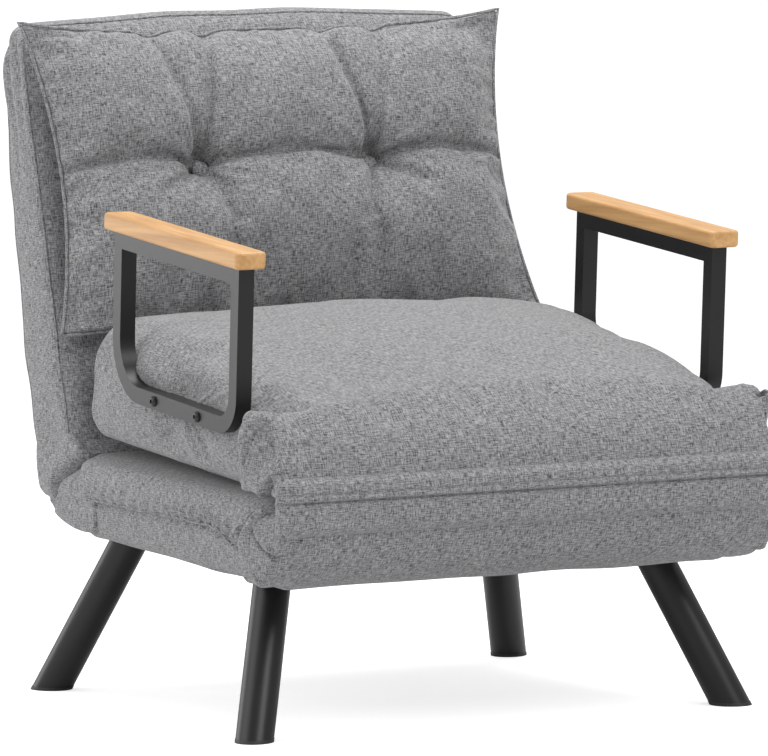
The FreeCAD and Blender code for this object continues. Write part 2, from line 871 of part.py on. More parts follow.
def arm_bolt(u):
    """A button-head bolt with a hexagon socket, through loop, spacer and seat rail."""
    inner = outer_frame_half_width - tube - nut_height - 2.0
    shank = x_cylinder(bolt_diameter / 2, inner, arm_outer_x, u, bolt_w)
    rim = bolt_head_diameter / 2
    head_face = Part.Face(section_in_xy(arm_outer_x, rim))
    head = head_face.revolve(Vector(0, 0, 0), Vector(1, 0, 0), 360)
    head.translate(Vector(0, u, bolt_w))
    points = []
    for i in range(7):
        y, z = polar(hex_socket / math.sqrt(3), 60.0 * i)
        points.append(Vector(arm_outer_x + 1.4, u + y, bolt_w + z))
    socket = Part.Face(Part.makePolygon(points)).extrude(Vector(bolt_head_height, 0, 0))
    return shank.fuse(head).cut(socket)


def section_in_xy(x, rim):
    """Half section of a button head: flat under, domed on top."""
    top = x + bolt_head_height
    a = Vector(x, 0, 0)
    b = Vector(x, rim, 0)
    c = Vector(x + 0.6, rim, 0)
    d = Vector(top, rim * 0.45, 0)
    e = Vector(top, 0, 0)
    dome = Part.Arc(c, Vector(x + bolt_head_height * 0.7, rim * 0.84, 0), d).toShape()
    lines = [Part.LineSegment(a, b).toShape(), Part.LineSegment(b, c).toShape(), dome,
             Part.LineSegment(d, e).toShape(), Part.LineSegment(e, a).toShape()]
    return Part.Wire(lines)


def arm_bolts():
    bolts = []
    for u in bolt_us:
        bolts.append(arm_bolt(u))
        bolts.append(mirrored(arm_bolt(u)))
    return to_seat(Part.makeCompound(bolts))


def arm_spacers():
    """Sleeves that carry the loop's clamping force through the soft side to the rail."""
    sleeves = []
    for u in bolt_us:
        outer = x_cylinder(spacer_diameter / 2, outer_frame_half_width, arm_inner_x, u, bolt_w)
        bore_radius = bolt_diameter / 2 + loose_fit
        sleeve = outer.cut(x_cylinder(bore_radius, outer_frame_half_width, arm_inner_x, u, bolt_w))
        sleeves.append(sleeve)
        sleeves.append(mirrored(sleeve))
    return to_seat(Part.makeCompound(sleeves))


def arm_nuts():
    """Hexagon nuts on the inner face of the seat rails."""
    nuts = []
    face_x = outer_frame_half_width - tube
    for u in bolt_us:
        points = []
        for i in range(7):
            y, z = polar(nut_diameter / math.sqrt(3), 60.0 * i)
            points.append(Vector(face_x - nut_height, u + y, bolt_w + z))
        body = Part.Face(Part.makePolygon(points)).extrude(Vector(nut_height, 0, 0))
        body = body.cut(x_cylinder(bolt_diameter / 2 + close_fit, face_x - nut_height, face_x, u, bolt_w))
        nuts.append(body)
        nuts.append(mirrored(body))
    return to_seat(Part.makeCompound(nuts))


# Back section: reclines from upright to level

def back_outline(crown):
    """Side outline of the back pad. t runs to the rear and s up the back."""
    front = -back_front_offset
    hollow = back_crown * (1 - crown)
    top = back_height - back_arch * (1 - crown)
    rear = back_depth
    low = pad_end_gap
    start = (front + 20.0, low)
    steps = [
        ((rear - 6.0, low),),
        ((rear - 1.8, low + 1.8), (rear, low + 6.0)),
        ((rear - 1.0, top * 0.55), (rear - back_rear_inset - 6.0, top - 56.0)),
        ((rear - 30.0, top - 16.0), (60.0, top)),
        ((30.0 + hollow * 0.4, top - 18.0), (12.0 + hollow * 0.6, top - 60.0)),
        ((2.0 + hollow, top * 0.5), (front, low + 20.0)),
        ((front + 6.0, low + 6.0), (front + 20.0, low)),
    ]
    return start, steps


def back_cover():
    """The back's padded cover, hollow for foam and frame, with slots for the hinges."""
    pad = crowned_pad(back_outline, back_half_width)
    rear = back_rail_depth + tube + back_cavity_margin
    high = back_rail_start + back_frame_length + back_cavity_margin
    cavity = box(-cavity_half_width, cavity_half_width, back_cavity_front, rear, back_cavity_floor, high)
    slot = box(slot_x0, slot_x1, -leaf_slot_front, rear, -edge_margin, recline_slot_height)
    return to_back(pad.cut(cavity).cut(both_sides(slot)))


def back_foam():
    high = back_rail_start + back_frame_length
    rear = back_rail_depth - sewn_gap
    return to_back(box(-foam_half_width, foam_half_width, back_foam_front, rear, back_rail_start, high))


def back_frame():
    """Welded frame of square tube, with cross tubes behind the foam."""
    first = back_rail_start
    last = back_rail_start + back_frame_length - tube
    steps = 3
    cross_at = [first + (last - first) * i / steps for i in range(steps + 1)]
    return to_back(welded_frame(outer_frame_half_width, first, last + tube, back_rail_depth, cross_at, "z"))


# Pillow: a loose cushion with knife-edge seams, drawn-in sides and two tufts

def fullness(share):
    """How full the pillow is at a share of its height: 0 at the seams and 1 in the middle."""
    return max(0.0, math.sin(math.pi * share)) ** 0.6


def pillow_half_width(share):
    """Widest at the corners and drawn in between them."""
    drawn = pillow_corner_half_width - pillow_waist_half_width
    return pillow_corner_half_width - drawn * math.sin(math.pi * share)


def pillow_arc(share, bulge):
    """A line across one panel. Its middle bulges, and hangs lower towards the top seam."""
    half = pillow_half_width(share)
    high = pillow_height * share
    middle = Vector(0, bulge * fullness(share), high - pillow_sag * share)
    left = Vector(-half, 0, high)
    right = Vector(half, 0, high)
    if left.z == middle.z:
        return Part.LineSegment(left, right).toShape()
    return Part.Arc(left, middle, right).toShape()


def pillow_panel(bulge):
    """One side of the pillow, in ruled strips from the bottom seam to the top seam."""
    lines = [pillow_arc(share, bulge) for share in pillow_shares]
    return [Part.makeRuledSurface(low, high) for low, high in zip(lines, lines[1:])]


def pillow_body():
    """Two panels sewn together along a knife edge."""
    shell = Part.makeShell(pillow_panel(-pillow_front_bulge) + pillow_panel(pillow_rear_bulge))
    shell.sewShape()
    return Part.makeSolid(shell)


def front_face(x, p):
    """How far the pillow's front stands forward at x and height p."""
    middle = 1 - (x / pillow_half_width(p / pillow_height)) ** 2
    share = p / (pillow_height - pillow_sag * middle)
    return pillow_front_bulge * fullness(share) * (1 - (x / pillow_half_width(share)) ** 2)


def tuft_cut():
    """The funnel that a sewn button draws into the front, about the local Y axis."""
    r = tuft_radius
    d = tuft_depth
    seat = Vector(0, 0, 0)
    seat_edge = Vector(button_radius + 1.0, 0, 0)
    middle = Vector(r * 0.42, -d * 0.66, 0)
    brim = Vector(r, -d * 1.15, 0)
    above = Vector(r, -3 * d, 0)
    on_axis = Vector(0, -3 * d, 0)
    funnel = Part.Arc(seat_edge, middle, brim).toShape()
    rest = [Part.LineSegment(a, b).toShape() for a, b in ((brim, above), (above, on_axis), (on_axis, seat))]
    wire = Part.Wire([Part.LineSegment(seat, seat_edge).toShape(), funnel] + rest)
    return Part.Face(wire).revolve(seat, Vector(0, 1, 0), 360)


def crease_section(x, p, across, depth):
    """A soft V that opens forward, lying across the crease's path at x and p."""
    face = front_face(x, p)
    k = crease_half_width * max(depth / crease_depth, 0.25)

    def at(side, out):
        return Vector(x + across[0] * side, -face - out, p + across[1] * side)

    root = at(0.0, -depth)
    left = at(-k, 5.0)
    right = at(k, 5.0)
    edges = [Part.Arc(root, at(k * 0.42, -depth * 0.18), right).toShape(),
             Part.LineSegment(right, at(k, 30.0)).toShape(),
             Part.LineSegment(at(k, 30.0), at(-k, 30.0)).toShape(),
             Part.LineSegment(at(-k, 30.0), left).toShape(),
             Part.Arc(left, at(-k * 0.42, -depth * 0.18), root).toShape()]
    return Part.Wire(edges)


def crease(x0, p0, x1, p1, depths):
    """A fold pressed into the front from one point to another, with its depths on the way."""
    length = math.hypot(x1 - x0, p1 - p0)
    across = ((p0 - p1) / length, (x1 - x0) / length)
    wires = []
    last = len(depths) - 1
    for i, depth in enumerate(depths):
        x = x0 + (x1 - x0) * i / last
        p = p0 + (p1 - p0) * i / last
        wires.append(crease_section(x, p, across, depth))
    return Part.makeLoft(wires, True, True)


def creases():
    """One fold from side to side through both tufts, and folds that fan up and down from them."""
    d = crease_depth
    side = pillow_waist_half_width - crease_end_inset
    folds = [crease(-side, tuft_height, side, tuft_height, (0.5 * d, 0.9 * d, 0.8 * d, 0.9 * d, 0.5 * d))]
    above = tuft_height + fan_start
    below = tuft_height - fan_start
    top = pillow_height - fan_top_margin
    for sign in (-1, 1):
        x = sign * tuft_x
        for spread in (-fan_spread, fan_spread):
            folds.append(crease(x, above, x + spread, top, (d, 0.6 * d, 0.25 * d)))
        outer = x + sign * fan_low_side
        inner = x - sign * fan_inner_side
        folds.append(crease(x, below, outer, below - fan_low_drop, (d, 0.5 * d, 0.2 * d)))
        folds.append(crease(x, below, inner, below - fan_inner_drop, (0.8 * d, 0.4 * d, 0.2 * d)))
    return folds


def pillow():
    body = pillow_body().cut(creases())
    for sign in (-1, 1):
        funnel = tuft_cut()
        funnel.translate(Vector(sign * tuft_x, tuft_seat(), tuft_height))
        body = body.cut(funnel)
    return to_pillow(body)


def tuft_seat():
    return tuft_depth - front_face(tuft_x, tuft_height)


def dome_middle(radius, rim, top):
    """The middle point of a round cap's profile, whose centre lies on the axis."""
    height = abs(top - rim)
    ball = (radius ** 2 + height ** 2) / (2 * height)
    half_angle = math.asin(radius / ball) / 2
    return ball * math.sin(half_angle), top + ball * (1 - math.cos(half_angle))


def pillow_buttons():
    """Two domed covered buttons at the bottom of the tufts."""
    buttons = []
    for sign in (-1, 1):
        under = Vector(0, 0, 0)
        edge = Vector(button_radius, 0, 0)
        rim = Vector(button_radius, -button_rim, 0)
        middle = Vector(*dome_middle(button_radius, -button_rim, -button_height), 0)
        top = Vector(0, -button_height, 0)
        dome_line = Part.Arc(rim, middle, top).toShape()
        sides = [Part.LineSegment(a, b).toShape() for a, b in ((under, edge), (edge, rim), (top, under))]
        wire = Part.Wire([sides[0], sides[1], dome_line, sides[2]])
        dome = Part.Face(wire).revolve(under, Vector(0, 1, 0), 360)
        dome.translate(Vector(sign * tuft_x, tuft_seat() - button_gap, tuft_height))
        buttons.append(dome)
    return to_pillow(Part.makeCompound(buttons))


# Every node, by name

nodes = {
    "base_cover": base_cover(),
    "base_foam": base_foam(),
    "base_frame": base_frame(),
    "leg_plates": leg_plates(),
    "leg_studs": Part.makeCompound([leg_stud(*where, 0.0) for where in legs.values()]),
    "front_roll": front_roll(),
    "corner_gusset": corner_gusset(),
    "seat_cover": seat_cover(),
    "seat_foam_lower": seat_foam_lower(),
    "seat_foam_upper": seat_foam_upper(),
    "seat_frame": seat_frame(),
    "arm_bolts": arm_bolts(),
    "arm_spacers": arm_spacers(),
    "arm_nuts": arm_nuts(),
    "arm_wood_screws": wood_screws(),
    "back_cover": back_cover(),
    "back_foam": back_foam(),
    "back_frame": back_frame(),
    "pillow": pillow(),
    "pillow_buttons": pillow_buttons(),
}
for place, where in legs.items():
    nodes["leg_" + place] = leg(*where)
    nodes["glide_" + place] = glide(*where)

handed = {
    "fold_leaf_base": fold_leaf_base(),
    "fold_leaf_seat": fold_leaf_seat(),
    "fold_pin": fold_pin(),
    "recline_plate": recline_plate(),
    "recline_arm": recline_arm(),
    "recline_pawl": pawl(),
    "recline_pawl_rivet": pawl_rivet(),
    "recline_pin": recline_pin(),
    "arm_loop": arm_loop(),
    "arm_bar": arm_bar(),
}
for name, shape in handed.items():
    nodes[name + "_right"] = shape
    nodes[name + "_left"] = mirrored(shape)

for name, shape in nodes.items():
    shape.exportStep("parts/" + name + ".step")
    bounds = shape.BoundBox
    print(name, "solids", len(shape.Solids), "valid", shape.isValid(), "cm3", round(shape.Volume / 1000, 1),
          [round(v) for v in (bounds.XMin, bounds.XMax, bounds.YMin, bounds.YMax, bounds.ZMin, bounds.ZMax)])
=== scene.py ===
import json
import math

import bmesh
import bpy
import numpy as np
from mathutils import Matrix, Vector
from mathutils.bvhtree import BVHTree


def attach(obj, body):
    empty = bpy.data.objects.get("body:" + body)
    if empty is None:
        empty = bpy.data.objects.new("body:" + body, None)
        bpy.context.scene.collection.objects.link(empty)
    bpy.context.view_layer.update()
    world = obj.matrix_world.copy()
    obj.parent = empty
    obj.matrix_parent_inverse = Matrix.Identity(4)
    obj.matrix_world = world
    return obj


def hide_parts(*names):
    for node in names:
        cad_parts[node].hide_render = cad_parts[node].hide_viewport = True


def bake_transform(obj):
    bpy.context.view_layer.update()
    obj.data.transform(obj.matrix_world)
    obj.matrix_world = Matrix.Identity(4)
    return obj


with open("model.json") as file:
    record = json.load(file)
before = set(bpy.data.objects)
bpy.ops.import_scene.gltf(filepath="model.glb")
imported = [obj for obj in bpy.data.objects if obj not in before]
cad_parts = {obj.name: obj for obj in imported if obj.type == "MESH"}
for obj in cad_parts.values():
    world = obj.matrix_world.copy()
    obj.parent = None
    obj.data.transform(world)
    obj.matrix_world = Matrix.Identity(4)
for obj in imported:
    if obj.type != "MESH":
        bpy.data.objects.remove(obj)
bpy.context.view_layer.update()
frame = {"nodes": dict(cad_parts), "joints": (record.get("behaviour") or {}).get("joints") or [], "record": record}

# Places that the frame gives: the two hinge lines and the leans of seat, back and pillow

joints = {joint["name"]: joint for joint in frame["joints"]}
fold_line = Vector(joints["seat_unfold"]["pos_m"])
recline_line = Vector(joints["back_recline"]["pos_m"])

seat_tilt = math.radians(4.47)
back_lean = math.radians(12.0)
pillow_lean = back_lean + math.radians(4.5)
pillow_up = 0.151
pillow_forward = 0.036

to_base = Matrix.Translation(fold_line)
to_seat = to_base @ Matrix.Rotation(seat_tilt, 4, "X")
to_back = Matrix.Translation(recline_line) @ Matrix.Rotation(-back_lean, 4, "X")
pillow_foot = to_back @ Vector((0, -pillow_forward, pillow_up))
to_pillow = Matrix.Translation(pillow_foot) @ Matrix.Rotation(-pillow_lean, 4, "X")

# Driving sizes of the soft pieces, in metres

base_half_width = 0.307
seat_half_width = 0.303
front_half_width = 0.335
back_half_width = 0.314
base_length = recline_line.y - 0.003 - fold_line.y
base_low_front = 0.178 - fold_line.z
base_low_rear = 0.192 - fold_line.z
base_top_rise = 0.015
seat_length = 0.592
seat_height = 0.131
seat_crown = 0.018
back_height = 0.566
back_depth = 0.116
back_front = -0.007
back_hollow = 0.015
back_arch = 0.012
back_low = 0.003
lobe_depth = 0.104
edge_round = 0.026
edge_draw = 0.8
side_bulge = 0.002
mesh_pitch = 0.009
pad_voxel = 0.0038
corner_voxel = 0.0030
lobe_round = 0.014
wedge_round = 0.008
seam_radius = 0.0014
arc_steps = 24
cloth_frames = 20

pillow_height = 0.395
pillow_corner = 0.334
pillow_waist = 0.304
pillow_aside = 0.004
pillow_sag = 0.017
pillow_front = 0.062
pillow_rear = 0.024
tuft_at = {-1: -0.1245, 1: 0.1125}
tuft_up = 0.203
notch_aside = 0.036
notch_width = 0.016
button_radius = 0.011
button_lift = 0.0055
pillow_seam_radius = 0.0021

# Helpers for meshes


def new_piece(name, verts, faces):
    """A mesh object from points in a local frame."""
    mesh = bpy.data.meshes.new(name)
    mesh.from_pydata([tuple(v) for v in verts], [], faces)
    work = bmesh.new()
    work.from_mesh(mesh)
    bmesh.ops.recalc_face_normals(work, faces=work.faces)
    work.to_mesh(mesh)
    work.free()
    mesh.shade_smooth()
    piece = bpy.data.objects.new(name, mesh)
    bpy.context.scene.collection.objects.link(piece)
    return piece


def places(mesh):
    """The mesh's points as an array."""
    flat = np.empty(len(mesh.vertices) * 3)
    mesh.vertices.foreach_get("co", flat)
    return flat.reshape(-1, 3)


def put_places(mesh, points):
    mesh.vertices.foreach_set("co", points.ravel())
    mesh.update()


def lay_weave(mesh):
    """Cloth coordinates in metres: each face takes the two axes that it faces least."""
    layer = mesh.uv_layers.new(name="weave")
    points = places(mesh)
    facing = np.empty(len(mesh.polygons) * 3)
    mesh.polygons.foreach_get("normal", facing)
    drop = np.abs(facing.reshape(-1, 3)).argmax(1)
    keep = np.array([(1, 2), (0, 2), (0, 1)])[drop]
    corners = np.empty(len(mesh.loops), int)
    mesh.loops.foreach_get("vertex_index", corners)
    counts = np.empty(len(mesh.polygons), int)
    mesh.polygons.foreach_get("loop_total", counts)
    keep = np.repeat(keep, counts, axis=0)
    flat = np.take_along_axis(points[corners], keep, axis=1)
    layer.data.foreach_set("uv", flat.ravel())


def carve(piece, rise):
    """Moves each point along its normal by what rise gives for its place."""
    mesh = piece.data
    points = places(mesh)
    normals = np.empty(len(mesh.vertices) * 3)
    mesh.vertices.foreach_get("normal", normals)
    put_places(mesh, points + normals.reshape(-1, 3) * rise(*points.T)[:, None])


def refine(piece):
    """One subdivision, kept in the mesh."""
    bpy.context.view_layer.objects.active = piece
    finer = piece.modifiers.new("finer", "SUBSURF")
    finer.levels = 1
    bpy.ops.object.modifier_apply(modifier=finer.name)


def remesh(piece, size):
    """Even quads all over the piece, so that folds can be laid anywhere on it."""
    piece.data.remesh_voxel_size = size
    bpy.context.view_layer.objects.active = piece
    bpy.ops.object.voxel_remesh()
    piece.data.shade_smooth()


def swell(piece, hold, pressure, reach, slack):
    """Stuffs a closed piece: cloth with slack, blown out and held where hold is near 1."""
    mesh = piece.data
    rest = places(mesh)
    held = piece.vertex_groups.new(name="held")
    for index, weight in enumerate(hold(*rest.T)):
        held.add([index], float(weight), "REPLACE")
    cloth = piece.modifiers.new("stuffing", "CLOTH")
    cloth.settings.quality = 5
    cloth.settings.mass = 0.25
    cloth.settings.tension_stiffness = 25
    cloth.settings.compression_stiffness = 25
    cloth.settings.shear_stiffness = 8
    cloth.settings.bending_stiffness = 0.6
    cloth.settings.shrink_min = -slack
    cloth.settings.use_pressure = True
    cloth.settings.uniform_pressure_force = pressure
    cloth.settings.vertex_group_mass = held.name
    cloth.settings.effector_weights.gravity = 0
    for step in range(1, cloth_frames + 1):
        bpy.context.scene.frame_set(step)
    shaped = piece.evaluated_get(bpy.context.evaluated_depsgraph_get())
    moved = places(shaped.data) - rest
    far = np.maximum(np.linalg.norm(moved, axis=1, keepdims=True), 1e-9)
    piece.modifiers.remove(cloth)
    piece.vertex_groups.remove(held)
    bpy.context.scene.frame_set(1)
    put_places(mesh, rest + moved * np.minimum(1.0, reach / far))


def cord_along(name, line, radius, closed=False):
    """A thin tube of fabric over a seam, through the given points."""
    line = [Vector(point) for point in line]
    count, around = len(line), 8
    verts, faces = [], []
    for i, point in enumerate(line):
        before = line[i - 1] if closed or i else line[i]
        after = line[(i + 1) % count] if closed or i < count - 1 else line[i]
        ahead = (after - before).normalized()
        side = ahead.orthogonal().normalized() if i == 0 else (side - ahead * side.dot(ahead)).normalized()
        up = ahead.cross(side)
        for k in range(around):
            turn = math.tau * k / around
            verts.append(point + radius * (math.cos(turn) * side + math.sin(turn) * up))
    for i in range(count if closed else count - 1):
        for k in range(around):
            j, m = (i + 1) % count, (k + 1) % around
            faces.append((i * around + k, i * around + m, j * around + m, j * around + k))
    return new_piece(name, verts, faces)


def snapped(piece, line, lift=0.0004):
    """A line's points, each moved to the nearest place on the piece."""
    tree = BVHTree.FromObject(piece, bpy.context.evaluated_depsgraph_get())
    found = [tree.find_nearest(Vector(point)) for point in line]
    return [place + normal * lift for place, normal, *_ in found]


def line_through(points, count):
    """Points at even steps along straight runs through the given points."""
    line = np.array(points, float)
    steps = np.linalg.norm(np.diff(line, axis=0), axis=1)
    along = np.concatenate([[0.0], np.cumsum(steps)])
    at = np.linspace(0.0, along[-1], count)
    return np.column_stack([np.interp(at, along, line[:, axis]) for axis in range(3)])


def bump(distance, width):
    """1 on a line and falling smoothly to 0 beside it."""
    return np.exp(-((distance / width) ** 2))


def beside(a, b, line):
    """Signed distance to a line of short runs; the sign tells which side of it a point is on."""
    nearest = np.full(np.shape(a), 9.0)
    for (a0, b0), (a1, b1) in zip(line, line[1:]):
        length = math.hypot(a1 - a0, b1 - b0)
        ahead = ((a1 - a0) / length, (b1 - b0) / length)
        along = np.clip((a - a0) * ahead[0] + (b - b0) * ahead[1], 0, length)
        off = np.hypot(a - a0 - along * ahead[0], b - b0 - along * ahead[1])
        turn = np.sign((a - a0) * ahead[1] - (b - b0) * ahead[0])
        nearest = np.where(off < np.abs(nearest), off * np.where(turn == 0, 1, turn), nearest)
    return nearest


def lapped(gap, height, groove):
    """An edge of cloth that lies over its neighbour: a raised rim and a sharp drop beside it."""
    rim = height * past(gap, -0.001, 0.004) * np.exp(-np.maximum(gap - 0.003, 0) / 0.016)
    return rim - groove * bump(gap + 0.003, 0.0035)


def past(value, start, end):
    """0 before start, 1 past end, smooth between."""
    share = np.clip((value - start) / (end - start), 0, 1)
    return share * share * (3 - 2 * share)


def waver(a, b, wave, phase):
    """A soft uneven swelling between -1 and 1, about one wave long each way."""
    k = math.tau / wave
    one = np.sin(k * a + 1.7 * np.sin(0.6 * k * b + phase))
    other = np.sin(0.8 * k * b + 1.3 * np.sin(0.7 * k * a - phase))
    return (one + other) / 2


def arc(a, m, b):
    """Points from a to b on the circle through m."""
    (ax, ay), (mx, my), (bx, by) = a, m, b
    d = 2 * (ax * (my - by) + mx * (by - ay) + bx * (ay - my))
    sa, sm, sb = ax * ax + ay * ay, mx * mx + my * my, bx * bx + by * by
    cx = (sa * (my - by) + sm * (by - ay) + sb * (ay - my)) / d
    cy = (sa * (bx - mx) + sm * (ax - bx) + sb * (mx - ax)) / d
    turns = [math.atan2(y - cy, x - cx) for x, y in (a, m, b)]
    middle = (turns[1] - turns[0]) % math.tau
    sweep = (turns[2] - turns[0]) % math.tau
    if middle > sweep:
        sweep -= math.tau
    radius = math.hypot(ax - cx, ay - cy)
    return [(cx + radius * math.cos(turns[0] + sweep * i / arc_steps),
             cy + radius * math.sin(turns[0] + sweep * i / arc_steps)) for i in range(arc_steps + 1)]


def even(points, count):
    """A closed line through the points, as count points at even steps."""
    line = np.array(points + [points[0]], float)
    steps = np.hypot(*np.diff(line, axis=0).T)
    along = np.concatenate([[0.0], np.cumsum(steps)])
    at = np.linspace(0.0, along[-1], count, endpoint=False)
    return np.column_stack([np.interp(at, along, line[:, 0]), np.interp(at, along, line[:, 1])])


def trace(start, steps, count):
    """An outline of straight runs (one point) and arcs (a middle point and an end)."""
    points = [start]
    for step in steps:
        points += [step[0]] if len(step) == 1 else arc(points[-1], *step)[1:]
    return even(points[:-1], count)


def stations(half_width, round_off):
    """Places across a pad, with how far its outline is drawn in at each."""
    flat = half_width - round_off
    count = 2 * round(flat / mesh_pitch)
    across = [(-flat + 2 * flat * i / count, 0.0) for i in range(count + 1)]
    turns = [math.radians(15.0 * i) for i in range(1, 7)]
    rim = [(flat + round_off * math.sin(a), round_off * (1 - math.cos(a)) * edge_draw) for a in turns]
    return [(-x, inset) for x, inset in reversed(rim)] + across + rim


def pad(name, outline, half_width, round_off=edge_round):
    """A closed pad: its side outline carried across, crowned, and rounded towards both sides."""
    length = np.hypot(*np.diff(trace(*outline(1.0), 200), axis=0).T).sum()
    around = round(length / mesh_pitch)
    rows = []
    for x, inset in stations(half_width, round_off):
        ring = trace(*outline(1 - (x / half_width) ** 2), around)
        middle = (ring.max(0) + ring.min(0)) / 2
        size = ring.max(0) - ring.min(0)
        ring = middle + (ring - middle) * (1 - 2 * inset / size)
        rows.append((x, ring))
    verts, faces = [], []
    for x, ring in rows:
        verts += [(x, u, w) for u, w in ring]
    for row in range(len(rows) - 1):
        for i in range(around):
            j = (i + 1) % around
            a, b = row * around, (row + 1) * around
            faces.append((a + i, a + j, b + j, b + i))
    for row, out in ((0, -1), (len(rows) - 1, 1)):
        x, ring = rows[row]
        close_end(verts, faces, x, ring, row * around, out * side_bulge)
    return new_piece(name, verts, faces)


def close_end(verts, faces, x, ring, first, bulge):
    """Fills a pad's flat side with rings that shrink to its middle."""
    around = len(ring)
    middle = (ring.max(0) + ring.min(0)) / 2
    rings = round((ring.max(0) - ring.min(0)).min() / 2 / mesh_pitch)
    last = first
    for step in range(1, rings):
        share = 1 - step / rings
        base = len(verts)
        inner = middle + (ring - middle) * share
        verts += [(x + bulge * (1 - share ** 2), u, w) for u, w in inner]
        for i in range(around):
            j = (i + 1) % around
            faces.append((last + i, last + j, base + j, base + i))
        last = base
    verts.append((x + bulge, *middle))
    faces += [(last + i, last + (i + 1) % around, len(verts) - 1) for i in range(around)]


# Outlines of the pads, each from its hinge line


def base_outline(crown):
    end = base_length
    top = base_top_rise + 0.002 * crown
    return (0.002, -0.004), [
        ((0.005, -0.036), (0.020, -0.064)),
        ((0.042, -0.087), (0.084, base_low_front)),
        ((end - 0.008, base_low_rear),),
        ((end - 0.0024, base_low_rear + 0.0024), (end, base_low_rear + 0.008)),
        ((end, top - 0.022),),
        ((end - 0.007, top - 0.0065), (end - 0.022, top)),
        ((0.140, 0.002 + 0.002 * crown),),
        ((0.016, -0.002),),
        ((0.006, -0.001), (0.002, -0.004)),
    ]


def seat_outline(crown):
    rise = seat_crown * crown
    top = seat_height
    end = seat_length
    return (0.002, 0.004), [
        ((0.005, 0.036), (0.020, 0.065)),
        ((0.038, 0.085), (0.066, 0.097 + 0.4 * rise)),
        ((0.240, 0.123 + rise), (end - 0.046, top + 0.8 * rise)),
        ((end - 0.012, top - 0.009 + 0.6 * rise), (end, top - 0.042)),
        ((end, 0.026),),
        ((end - 0.009, 0.001), (end - 0.034, -0.009)),
        ((0.140, -0.004),),
        ((0.016, 0.002),),
        ((0.006, 0.001), (0.002, 0.004)),
    ]


def back_outline(crown):
    hollow = back_hollow * (1 - crown)
    top = back_height - back_arch * (1 - crown)
    rear, low = back_depth, back_low
    return (back_front + 0.020, low), [
        ((rear - 0.006, low),),
        ((rear - 0.0018, low + 0.0018), (rear, low + 0.006)),
        ((rear - 0.001, top * 0.55), (rear - 0.012, top - 0.056)),
        ((rear - 0.030, top - 0.016), (0.060, top)),
        ((0.030 + hollow * 0.4, top - 0.018), (0.012 + hollow * 0.6, top - 0.060)),
        ((0.002 + hollow, top * 0.5), (back_front, low + 0.020)),
        ((back_front + 0.006, low + 0.006), (back_front + 0.020, low)),
    ]


def lobe_outline(sign, height, flare):
    """One lobe of the front roll, taller towards its ends by the flare."""
    def outline(crown):
        high = height + flare * (1 - crown) ** 2
        return (0.0035, sign * 0.0055), [
            ((0.0065, sign * 0.036), (0.0215, sign * 0.0625)),
            ((0.0385, sign * (0.0825 + 0.4 * (high - height))), (0.066, sign * (high - 0.0015))),
            ((lobe_depth - 0.006, sign * (high - 0.008)),),
            ((lobe_depth, sign * high / 2), (lobe_depth - 0.006, sign * 0.012)),
            ((0.0035, sign * 0.0055),),
        ]
    return outline


# Pillow: two panels sewn along a knife edge, drawn in between its corners and tufted twice


def pillow_point(a, b, side):
    """A point of the pillow: a and b run over the panel, side is -1 in front and 1 behind."""
    half = pillow_corner - (pillow_corner - pillow_waist) * math.sin(math.pi * b) ** 0.8
    x = a * half
    sag = 1 - abs(a) ** 4
    spots = [(tuft, v) for tuft in tuft_at.values() for v in (-notch_aside, notch_aside)]
    notch = sum(math.exp(-(((x - tuft - v) / notch_width) ** 2)) for tuft, v in spots)
    top = pillow_height - pillow_sag * sag - 0.007 * notch
    low = 0.006 * sag
    up = low + (top - low) * b
    full = (1 - abs(a) ** 3.2) ** 0.62 * math.sin(math.pi * b) ** 0.55
    if side > 0:
        return (x, pillow_rear * full, up)
    depth = 0.88 * pillow_front * full
    for tuft in tuft_at.values():
        depth -= 0.034 * math.exp(-math.hypot(x - tuft, up - tuft_up) / 0.028)
    depth -= 0.020 * math.exp(-abs(up - crease_height(x)) / 0.009) * min(1.0, full * 1.5)
    for gap, strength in fan_folds(x, up):
        depth -= 0.017 * strength * math.exp(-gap / 0.009) * full
    return (x, -max(depth, 0.0), up)


def crease_height(x):
    """Height of the fold through both tufts, which arches up between what holds it."""
    held = (-pillow_waist, tuft_at[-1], tuft_at[1], pillow_waist)
    span = np.clip(np.searchsorted(held, x) - 1, 0, 2)
    start = np.take(held, span)
    share = np.clip((x - start) / (np.take(held, span + 1) - start), 0, 1)
    return tuft_up + 0.011 * np.sin(math.pi * share)


fold_rays = ((-0.036, 0.165, 1.0), (0.036, 0.160, 1.0), (0.072, -0.040, 0.7), (-0.026, -0.084, 0.5))


def fan_folds(x, up):
    """Distance to each fold that runs from a tuft towards the seams, and its strength there."""
    for s, tuft in tuft_at.items():
        for across, rise, strength in fold_rays:
            across = across * s
            length = math.hypot(across, rise)
            along = ((x - tuft) * across + (up - tuft_up) * rise) / length
            gap = np.abs((x - tuft) * rise - (up - tuft_up) * across) / length
            inside = (along > 0) & (along < length)
            yield gap, strength * inside * (1 - 0.75 * np.clip(along / length, 0, 1))


